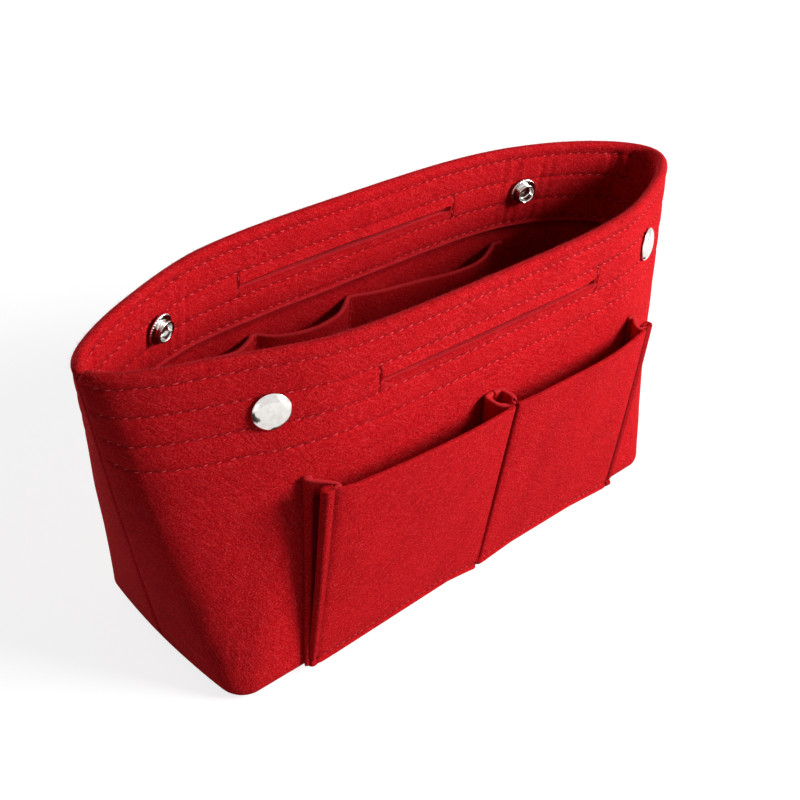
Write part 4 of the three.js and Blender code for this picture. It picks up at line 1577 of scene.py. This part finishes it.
@dataclass
class Pockets:
    """Two bellows pockets on the front: a panel with a pinched fin, an outer gusset and half the divider.

    Plan paths are given as (x, stand-off) where stand-off is measured from the wall's outer face. At
    the open top they follow the photographed folds; at the sewn bottom everything lies flat.
    """

    wardrobe: Wardrobe
    bottom: float = 4 * MM
    top: float = 97 * MM
    reach: float = 91 * MM
    fin: dict[Hand, float] = by_hand(4.1 * MM, 6.4 * MM)
    below: float = 3.4 * MM
    proud_middle: float = 14 * MM
    proud_end: dict[Hand, float] = by_hand(13.6 * MM, 12.6 * MM)
    bow: float = 2.1 * MM
    bow_power: dict[Hand, float] = by_hand(0.62, 0.9)
    foot_lift: dict[Hand, tuple[tuple[float, float], ...]] = by_hand(
        ((0.0, 0.0), (0.05, 0.6), (0.2, 2.3), (0.5, 1.4), (0.9, 0.2), (1.0, 0.0)),
        ((0.0, 0.0), (0.06, 1.0), (0.25, 2.8), (0.7, 2.8), (0.92, 1.2), (1.0, 0.6)))
    divider_fold: dict[Hand, Array] = by_hand(
        np.array([[1.2, 0.75, 1.1, 4.0], [-3.1, -1.9, -0.9, -0.9]]),
        np.array([[2.9, 2.6, 3.1, 5.5], [-3.9, -2.6, -1.4, -0.95]]))
    # Painted shade at the fin: strength of the dark line in its stitched groove, that line's width, and how much the
    # fin beyond it is darkened. fold_spot places a line of painted shade along the divider's fold.
    groove: dict[Hand, tuple[float, float, float]] = by_hand((0.6, 0.6 * MM, 0.05), (1.25, 1.1 * MM, 0.5))
    fold_spot: dict[Hand, float] = by_hand(0.2 * MM, 2.0 * MM)

    def share(self, h: Array) -> Array:
        """0 at the bottom seam, 1 at the open top."""
        return np.clip((h - self.bottom) / (self.top - self.bottom), -0.05, 1.05)

    def proud(self, hand: Hand, x: Array, h: Array) -> Array:
        """Stand-off of the panel's outer face: from `below` to a top that bows out in the middle."""
        u = np.clip(np.abs(x) / self.reach, 0, 1)
        top = self.proud_middle + (self.proud_end[hand] - self.proud_middle) * u
        top = top + self.bow * np.sin(np.pi * u ** self.bow_power[hand])
        return self.below + (top - self.below) * self.share(h) ** 0.95

    def place(self, hand: Hand, plan: Array, h: Array) -> Array:
        """Turns (distance from the middle, stand-off) into a point of the given hand.

        Args:
            hand: left or right.
            plan: last axis is (distance, stand-off).
            h: heights.

        Returns:
            The points.
        """
        u = np.clip(plan[..., 0] / self.reach, 0, 1)
        low = np.clip(1 - 1.6 * self.share(h), 0, 1) ** 2
        lift = np.interp(u, *zip(*self.foot_lift[hand])) * MM * low
        point = OUTLINE.wall(-plan[..., 0], h + lift, -plan[..., 1])
        point[..., 0] *= -hand.value
        return EASE(point)

    def panel_path(self, hand: Hand) -> Callable[[Array, Array], Array]:
        """Middle line of the panel: a rounded fold at the divider, the flat, then the pinched fin."""
        half = POCKET_FELT / 2
        wide = self.reach
        fin = self.fin[hand]

        tip_x = wide + np.array([-1.6 * MM, 0.6 * MM, 0.55 * fin, 0.9 * fin, fin, 0.9 * fin, 0.5 * fin, 0.1 * fin])
        tip_o = np.array([-1.1, -1.75, -1.15, -1.2, -2.3, -3.4, -3.6, -3.5]) * MM
        fold_x, fold_o = self.divider_fold[hand] * MM
        x = np.concatenate([fold_x, np.linspace(9 * MM, wide - 5 * MM, 9), tip_x])
        o = np.concatenate([fold_o, np.full(9, -half), tip_o])
        # Knots sit at even lengths, so the curve keeps its pace through folds and flats alike.
        gaps = np.concatenate([[0], np.cumsum(np.hypot(np.diff(x), np.diff(o)) ** 0.55)])

        def middle(p: Array, h: Array) -> Array:
            """The path's point; below the top its folds are squeezed towards the panel."""
            share = self.share(h)
            plan = spline(np.stack([x, o], axis=-1), np.interp(p, gaps / gaps[-1], np.linspace(0, 1, len(x))))
            squeeze = np.where(plan[..., 1] < -half, 0.55 + 0.45 * share, 1.0)
            off = -half + (plan[..., 1] + half) * squeeze
            narrow = np.where(plan[..., 0] > wide, wide + (plan[..., 0] - wide) * (0.6 + 0.4 * share), plan[..., 0])
            return self.place(hand, np.stack([narrow, self.proud(hand, narrow, h) + off], axis=-1), h)

        return middle

    def panel(self, hand: Hand) -> Piece:
        """Builds a pocket's panel with its fin.

        Args:
            hand: left or right.

        Returns:
            The piece.
        """
        heights = np.concatenate([self.bottom + np.array([0, 0.9, 1.7, 2.4, 3.0, 3.6, 4.4]) * MM,
                                  strip_heights(self.bottom + 6 * MM, self.top, 40, 1.6 * MM)])
        strip = Strip(POCKET_FELT, heights, edge_pale_and_highlight=0.1)
        swell = Swell(Seed.PANEL + (hand is Hand.RIGHT), 90 * MM, 35 * MM)

        def lift(run: Array, h: Array) -> Array:
            """The sewn line sinks in, the lip below it stands out and the flat swells slowly."""
            seam = -0.5 * MM * bump((h - self.bottom - 3.0 * MM) / (0.9 * MM))
            lip = 0.6 * MM * smooth((self.bottom + 2.4 * MM - h) / (2.4 * MM))
            free = smooth((run - 8 * MM) / (15 * MM)) * smooth((self.reach - 8 * MM - run) / (15 * MM))
            slow = 0.5 * MM * swell(run, h) * free * smooth((h - self.bottom - 5 * MM) / (20 * MM))
            return (slow + seam + lip) * hand.value

        skin = strip.loft(self.panel_path(hand), 170, lift)
        past = np.abs(skin.points[:, 0]) - self.reach
        dark, wide, turned = self.groove[hand]
        # Painted shade: in the fin's groove, over the fin, along the divider's fold and on the sewn line above the
        # bottom lip.
        skin.values["pressed"] = np.maximum.reduce([
            dark * bump((past - 0.9 * MM) / wide),
            turned * smooth((past - 0.4 * MM) / MM),
            0.8 * bump((past + self.reach - self.fold_spot[hand]) / (0.8 * MM)),
            0.5 * bump((skin.uv[:, 1] - self.bottom - 2.8 * MM) / (0.6 * MM))])
        piece = self.wardrobe.dress(skin.build(f"{hand.word}_pocket_front"), Finish.POCKET_FELT)
        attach(piece, f"{hand.word}_pocket")
        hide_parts(f"{hand.word}_pocket_panel")
        return piece

    def gusset(self, hand: Hand, outer: bool) -> Piece:
        """Builds an outer gusset or one side of the divider.

        Args:
            hand: left or right pocket.
            outer: the gusset at the far end, else the divider's side.

        Returns:
            The piece.
        """
        heights = strip_heights(self.bottom, self.top, 34, 1.6 * MM)
        knots = (OUTER_GUSSETS[hand] if outer else INNER_GUSSET).T * np.array([MM, 1.0, MM])
        proud_at = self.reach if outer else 0.0

        def middle(p: Array, h: Array) -> Array:
            """The gusset's path, from its flat one at the foot to its open one at the top."""
            share = self.share(h)
            room = self.proud(hand, np.full(h.shape, proud_at), h) - POCKET_FELT
            top = spline(knots, p)
            across = top[..., 2] + (top[..., 0] - top[..., 2]) * smooth(share * 1.15)
            off = 0.7 * MM + top[..., 1] * (room - 0.7 * MM) + 0.4 * MM * (1 - share)
            return self.place(hand, np.stack([across, off], axis=-1), h)

        skin = Strip(POCKET_FELT, heights).loft(middle, 44)
        # Painted shade deep in the left outer gusset's recess, fading towards the open top.
        inward = self.reach + 4.4 * MM - np.abs(skin.points[:, 0])
        deep = smooth(inward / (1.2 * MM)) * smooth((self.top - 1.5 * MM - skin.points[:, 2]) / (8 * MM))
        skin.values["pressed"] = 1.7 * deep * (outer and hand is Hand.LEFT)
        kind = "outer" if outer else "inner"
        piece = self.wardrobe.dress(skin.build(f"{hand.word}_pocket_{kind}_fold"), Finish.POCKET_FELT)
        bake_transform(piece)
        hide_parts(f"{hand.word}_pocket_{kind}_gusset")
        return piece

    def seams(self, hand: Hand) -> Piece:
        """Sews a panel: along its fin and along its bottom lip.

        Args:
            hand: left or right.

        Returns:
            The piece.
        """
        small = Stitch(pitch=3.2 * MM, length=1.9 * MM, radius=0.17 * MM, rise=0.22 * MM, hole=0.28 * MM)
        right = hand is Hand.RIGHT
        up = np.linspace(self.bottom + 2 * MM, self.top - 1.5 * MM, 120)
        along = np.linspace(4 * MM, self.reach - 2 * MM, 120)
        lines = ((np.full(120, self.reach - 0.2 * MM), up, 0.62 * MM),
                 (along, np.full(120, self.bottom + 3.0 * MM), 0.42 * MM))
        skins = []
        for k, (x, h, sink) in enumerate(lines):
            path = self.place(hand, np.stack([x, self.proud(hand, x, h) - sink], axis=-1), h)
            skins.append(small.sew(path, FORWARDS, Seed.POCKET_SEAMS + k + 10 * right))
        middle = self.panel_path(hand)
        p = np.linspace(0.02, 0.98, 300)
        h = np.linspace(self.bottom + 2 * MM, self.top - 1 * MM, 160)
        for share, height, out, seed in ((p, np.full(300, self.top), UPWARDS, Seed.POCKET_TOP),
                                         (np.full(160, 0.93), h, (hand.value, -0.4, 0.0), Seed.POCKET_SIDE)):
            path = middle(share, height)
            skins.append(FUZZ.grow(path, np.array(out, float), seed + right))
        piece = self.wardrobe.dress(joined(skins).build(f"{hand.word}_pocket_seams"), Finish.THREAD)
        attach(piece, f"{hand.word}_pocket")
        return piece

    def build(self) -> None:
        """Builds both pockets."""
        for hand in Hand:
            self.panel(hand)
            self.seams(hand)
            self.gusset(hand, True)
            self.gusset(hand, False)


@dataclass
class InnerStrip:
    """The strip inside the back wall: sewn down at four dividers, bowed out between them."""

    wardrobe: Wardrobe
    bottom: float = 14 * MM
    top: float = 99 * MM
    half: float = 95 * MM
    bow: float = 13 * MM
    sewn: float = 3 * MM
    below_share: float = 0.15
    dividers: tuple[float, ...] = (-1.0, -0.553, 0.025, 1.0)
    bows: tuple[float, ...] = (0.55, 0.86, 0.90)
    sags: tuple[tuple[tuple[float, float], ...], ...] = (
        ((0, 0), (0.18, 0.35), (0.40, 0.78), (0.57, 1.0), (0.70, 0.92), (0.83, 0.60), (0.93, 0.28), (1, 0)),
        ((0, 0), (0.07, 0.36), (0.15, 0.62), (0.27, 0.86), (0.42, 1.0), (0.56, 0.98), (0.76, 0.75),
         (0.91, 0.32), (1, 0)),
        ((0, 0), (0.12, 0.30), (0.25, 0.50), (0.39, 0.70), (0.50, 0.86), (0.60, 0.97), (0.70, 1.0), (0.77, 0.94),
         (0.83, 0.81), (0.886, 0.59), (0.95, 0.29), (1, 0)))

    def knots(self) -> Array:
        """Path knots as (x, bow share): each pocket sags off the wall and runs back to it.

        Returns:
            The knots.
        """
        spots = [d * self.half for d in self.dividers]
        rows: list[tuple[float, float]] = [(spots[0] - self.sewn, 0.0), (spots[0] - self.sewn / 2, 0.0)]
        for i, bow in enumerate(self.bows):
            start, end = spots[i] + self.sewn / 2, spots[i + 1] - self.sewn / 2
            rows += [(start + (end - start) * v, bow * share) for v, share in self.sags[i]]
        rows.append((spots[-1] + self.sewn, 0.0))
        return np.array(rows)

    def bow_at(self, h: Array) -> Array:
        """The bow's depth: a sine from a small share at the sewn bottom to full at the open top."""
        share = np.clip((h - self.bottom) / (self.top - self.bottom), 0, 1.05)
        return self.bow * (self.below_share + (1 - self.below_share) * np.sin(np.pi / 2 * share))

    def middle(self, p: Array, h: Array) -> Array:
        """Middle line of the strip, mirrored to the back wall's inside."""
        knots = self.knots()
        metric = np.stack([knots[:, 0], knots[:, 1] * self.bow], axis=-1)
        run = np.concatenate([[0], np.cumsum(np.hypot(*np.diff(metric, axis=0).T) ** 0.7)])
        spot = np.interp(p, run / run[-1], np.linspace(0, 1, len(knots)))
        path = spline(knots, spot)
        depth = FELT + 0.5 * MM + POCKET_FELT / 2 + self.bow_at(h) * np.maximum(path[..., 1], -0.02)
        lift = 2.0 * MM * smooth((-path[..., 0] - 45 * MM) / (40 * MM)) * smooth((h - 60 * MM) / (40 * MM))
        return EASE(OUTLINE.wall(path[..., 0], h + lift, depth) * BACKWARDS)

    def build(self) -> None:
        """Builds the strip and its divider seams."""
        heights = strip_heights(self.bottom, self.top, 36, 1.5 * MM)
        swell = Swell(Seed.STRIP, 60 * MM, 25 * MM)
        lift = lambda run, h: 0.35 * MM * swell(run, h) * smooth((h - self.bottom) / (25 * MM))
        skin = Strip(POCKET_FELT, heights).loft(self.middle, 240, lift)
        piece = self.wardrobe.dress(skin.build("inner_strip"), Finish.POCKET_FELT)
        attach(piece, "back_wall")
        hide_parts("inner_pocket_strip")
        small = Stitch(pitch=3.6 * MM, length=2.2 * MM, radius=0.22 * MM)
        h = np.linspace(self.bottom + 1 * MM, self.top - 2 * MM, 90)
        depth = FELT + 0.5 * MM + POCKET_FELT - 0.05 * MM
        skins = []
        for k, share in enumerate(self.dividers):
            path = EASE(OUTLINE.wall(share * self.half, h, depth) * BACKWARDS)
            skins.append(small.sew(path, FORWARDS, Seed.STRIP_SEAMS + k))
        top = self.middle(np.linspace(0.02, 0.98, 400), np.full(400, self.top))
        skins.append(FUZZ.grow(top, UPWARDS, Seed.STRIP_TOP))
        seams = self.wardrobe.dress(joined(skins).build("inner_strip_seams"), Finish.THREAD)
        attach(seams, "back_wall")


# ---- Snap fasteners ----


@dataclass
class Snaps:
    """Snap fasteners: turned parts on the walls' normals, their profiles as (radius, height) in mm.

    Spots are the distance from the middle and the depth below the rim.
    """

    wardrobe: Wardrobe
    spots: dict[tuple[Hand, Face], tuple[float, float]] = field(default_factory=lambda: {
        (Hand.LEFT, Face.FRONT): (105.3 * MM, 23.0 * MM), (Hand.RIGHT, Face.FRONT): (107.5 * MM, 23.0 * MM),
        (Hand.LEFT, Face.BACK): (108 * MM, 21.2 * MM), (Hand.RIGHT, Face.BACK): (104.5 * MM, 22.2 * MM)})
    sides: int = 72
    inner_face: float = -5.9

    def place(self, hand: Hand, face: Face) -> Matrix:
        """Matrix from a snap's own space, +Z out of the outer face, to the object's.

        Args:
            hand: left or right.
            face: front or back wall.

        Returns:
            The matrix.
        """
        away, depth = self.spots[hand, face]
        x, height = -away, OUTLINE.height - depth
        spots = ((x, height), (x + 0.3 * MM, height), (x, height + 0.3 * MM))
        plain_spots = (OUTLINE.wall(a, b, 0.0) for a, b in spots)
        at, right, up = (EASE(to_quarter(spot, hand, face)) for spot in plain_spots)
        out = np.cross(right - at, up - at)
        out *= np.sign(out[1] * face.value) / np.linalg.norm(out)
        turn = Vector((0, 0, 1)).rotation_difference(Vector(out))
        return Matrix.Translation(Vector(at)) @ turn.to_matrix().to_4x4()

    def cap(self, hand: Hand, face: Face) -> Piece:
        """Builds a cap outside, a shallow dome: big on the front, small on the back."""
        radius, top = (7.5, 2.6) if face is Face.FRONT else (5.5, 1.8)
        knots = np.array([(7.42, 0.9), (7.05, 1.27), (6.6, 1.62), (6.0, 1.89), (5.3, 2.12), (4.6, 2.29), (3.6, 2.43),
                          (2.2, 2.53), (0.6, 2.58)])
        shape = spline(knots, np.linspace(0, 1, 24))
        crown = [(r * radius / 7.5, 0.9 + (z - 0.9) * (top - 0.9) / 1.7) for r, z in shape]
        rim = [(radius - inset, z) for inset, z in ((0.7, 0.12), (0.25, 0.16), (0.02, 0.42), (0, 0.62), (0.06, 0.82))]
        profile = [(0, -6.8), (2.4, -6.8), (2.4, 0.0), *rim, *crown, (0, top)]
        return self.turned("cap" if face is Face.FRONT else "post", profile, hand, face, None)

    def socket(self, hand: Hand) -> Piece:
        """Builds the socket behind a front cap: a cup with a rolled lip and a spring groove."""
        profile = [(r, self.inner_face + z) for r, z in (
            (0, -0.9), (2.0, -0.9), (2.2, -0.3), (2.8, 0), (5.9, 0), (6.25, -0.35), (6.2, -1.0), (5.75, -1.25),
            (5.7, -2.3), (5.5, -2.9), (5.0, -3.05), (4.55, -2.8), (4.5, -1.5), (4.2, -1.2), (2.4, -1.2), (0, -1.25))]
        return self.turned("socket", profile, hand, Face.FRONT, None)

    def stud(self, hand: Hand) -> Piece:
        """Builds the stud: a knurled flange and a hollow ring post with a waist."""
        profile = [(r, self.inner_face + z) for r, z in (
            (0, -0.5), (2.9, -0.5), (3.0, 0), (5.7, 0), (6.2, -0.1), (6.5, -0.45), (6.5, -0.95), (6.2, -1.3),
            (5.6, -1.4), (5.1, -1.15), (4.5, -1.2), (4.2, -1.5), (4.1, -2.3), (4.3, -2.9), (4.7, -3.4),
            (4.65, -3.85), (4.3, -4.05), (3.95, -3.9), (3.75, -3.3), (3.6, -1.2), (3.0, -0.8), (0, -0.9))]
        knurl = np.zeros(len(profile))
        knurl[4:8] = np.array([0.16, 0.24, 0.24, 0.16]) * MM
        return self.turned("stud", profile, hand, Face.BACK, knurl)

    def turned(self, kind: str, profile: Sequence[tuple[float, float]], hand: Hand, face: Face,
               knurl: Array | None) -> Piece:
        """Turns a profile, dresses it and lets it ride.

        Args:
            kind: the node's last word.
            profile: (radius, height) in millimetres.
            hand: left or right.
            face: front or back wall.
            knurl: ripple of the radius, or None.

        Returns:
            The piece.
        """
        metric = [(r * MM, z * MM) for r, z in profile]
        skin = lathe(metric, self.sides * (1 if knurl is None else 2), self.place(hand, face), knurl)
        names = {"cap": "cap_dome", "post": "back_cap", "socket": "socket_cup", "stud": "stud_ring"}
        piece = self.wardrobe.dress(skin.build(f"{hand.word}_{names[kind]}"), Finish.NICKEL)
        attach(piece, face.body)
        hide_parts(f"{hand.word}_snap_{kind}")
        return piece

    def build(self) -> None:
        """Builds all eight turned parts."""
        for hand in Hand:
            self.cap(hand, Face.FRONT)
            self.socket(hand)
            self.stud(hand)
            self.cap(hand, Face.BACK)


# ---- Studio ----


@dataclass(frozen=True)
class Camera:
    """The photograph's view, from a fit of the outline's points."""

    place: tuple[float, float, float] = (-0.331266, -0.314210, 0.379401)
    yaw: float = 0.761362
    pitch: float = 0.577775
    roll: float = 0.0622750
    focal_pixels: float = 1251.66
    centre: tuple[float, float] = (356.118, 367.243)
    frame_pixels: float = 800.0

    def build(self) -> None:
        """Makes the camera: axes from yaw, pitch and roll, the shift from the fitted centre."""
        sy, cy, sp, cp = np.sin(self.yaw), np.cos(self.yaw), np.sin(self.pitch), np.cos(self.pitch)
        ahead = np.array([sy * cp, cy * cp, -sp])
        right = np.array([cy, -sy, 0.0])
        up = np.cross(right, ahead)
        sr, cr = np.sin(self.roll), np.cos(self.roll)
        axes = np.stack([right * cr + up * sr, up * cr - right * sr, -ahead], axis=1)
        data = bpy.data.cameras.new("view")
        data.sensor_width = 36.0
        data.lens = self.focal_pixels * 36.0 / self.frame_pixels
        half = self.frame_pixels / 2
        data.shift_x = (half - self.centre[0]) / self.frame_pixels
        data.shift_y = (self.centre[1] - half) / self.frame_pixels
        data.clip_start = 0.01
        camera = bpy.data.objects.new("view", data)
        camera.matrix_world = Matrix.Translation(self.place) @ Matrix(axes.tolist()).to_4x4()
        bpy.context.scene.collection.objects.link(camera)
        bpy.context.scene.camera = camera


@dataclass(frozen=True)
class Lamp:
    """A soft square lamp that looks at the object."""

    name: str
    place: tuple[float, float, float]
    size: float
    watts: float

    def build(self) -> None:
        """Makes the lamp."""
        data = bpy.data.lights.new(self.name, "AREA")
        data.energy = self.watts
        data.size = self.size
        lamp = bpy.data.objects.new(self.name, data)
        lamp.location = self.place
        aim = Vector((0.0, 0.0, 0.07)) - Vector(self.place)
        lamp.rotation_euler = aim.to_track_quat("-Z", "Y").to_euler()
        bpy.context.scene.collection.objects.link(lamp)


@dataclass(frozen=True)
class Studio:
    """Pale floor, soft lamps and a pale surround."""

    floor_colour: Colour = (0.34, 0.34, 0.34)
    floor_glow: float = 0.80
    surround: float = 0.014
    floor_half: float = 4.0
    lamps: tuple[Lamp, ...] = (
        Lamp("key", (0.61, -0.80, 0.61), 0.46, 17.8),
        Lamp("front", (0.45, -1.45, 0.35), 0.6, 1.8),
        Lamp("side", (-1.00, -0.45, 0.16), 0.6, 1.0),
        Lamp("overhead", (0.05, 0.25, 1.40), 0.9, 0.7),
        Lamp("rear", (-0.30, 1.25, 0.42), 0.8, 8.0),
    )
    cards: tuple[tuple[float, float, float, float], ...] = (
        (-0.55, -0.20, -0.20, 0.12), (-0.10, -0.11, 0.25, -0.056))

    def build(self) -> None:
        """Makes the floor, the world and the lamps."""
        bpy.context.scene.view_settings.view_transform = "Standard"
        for lamp in self.lamps:
            lamp.build()
        self.world()
        self.floor()
        for number, card in enumerate(self.cards):
            self.card(number, *card)

    @staticmethod
    def sheet(name: str, west: float, south: float, east: float, north: float, height: float) -> Piece:
        """Makes a level rectangle.

        Args:
            name: its name.
            west, south, east, north: its edges.
            height: its height.

        Returns:
            The piece.
        """
        corners = np.array([[west, south], [east, south], [east, north], [west, north]])
        return Skin(np.column_stack([corners, np.full(4, height)]), [np.array([[0, 1, 2, 3]])]).build(name)

    def card(self, number: int, west: float, south: float, east: float, north: float) -> None:
        """Lays a dark card on the floor that only polished metal mirrors.

        Args:
            number: tells the cards apart.
            west, south, east, north: its edges.
        """
        piece = self.sheet(f"dark_card_{number}", west, south, east, north, 0.0006 + 0.0002 * number)
        made, n = blank_material(f"dark_card_{number}")
        n.surface({"Base Color": (0.012, 0.011, 0.008, 1.0), "Roughness": 1.0})
        piece.data.materials.append(made)
        piece.visible_camera = piece.visible_diffuse = piece.visible_shadow = False

    def world(self) -> None:
        """The surround: white to the eye and to metal, dimmer as light on the object."""
        world = bpy.data.worlds.new("surround")
        bpy.context.scene.world = world
        world.use_nodes = True
        world.node_tree.nodes.clear()
        n = Nodes(world.node_tree)
        strength = n.ramp(n.seen(), 0.0, 1.0, self.surround, 1.0)
        back = n.fill(n.add("Background"), {"Color": (1.0, 1.0, 1.0, 1.0), "Strength": strength})
        n.link(back.outputs[0], n.add("OutputWorld").inputs[0])

    def floor(self) -> None:
        """The floor: a big pale plane just under the object, lit to near white for the eye."""
        piece = self.sheet("floor", -self.floor_half, -self.floor_half, self.floor_half, self.floor_half, -0.0004)
        made, n = blank_material("pale_floor")
        place = n.add("TexCoord").outputs["Object"]
        cloud = n.ramp(n.noise(place, 18.0, 3.0), 0.3, 0.7)
        away = n.add("VectorMath", operation="LENGTH")
        n.link(place, away.inputs[0])
        glow = n.ramp(away.outputs["Value"], 0.25, 0.95, self.floor_glow, 1.0)
        n.surface({
            "Base Color": n.mix(cloud, opaque(self.floor_colour), opaque(tuple(0.985 * c for c in self.floor_colour))),
            "Roughness": 0.9, "Specular IOR Level": 0.1, "Emission Color": (1.0, 1.0, 1.0, 1.0),
            "Emission Strength": n.math("MULTIPLY", n.seen(), glow)})
        piece.data.materials.append(made)


def main() -> None:
    """Builds the camera, the studio and the organizer in order."""
    logging.basicConfig(level=logging.INFO, format="%(name)s: %(message)s")
    Camera().build()
    Studio().build()
    wardrobe = Wardrobe()
    FeltBody(wardrobe).build()
    Pockets(wardrobe).build()
    InnerStrip(wardrobe).build()
    Snaps(wardrobe).build()


if __name__ == "__main__":
    main()
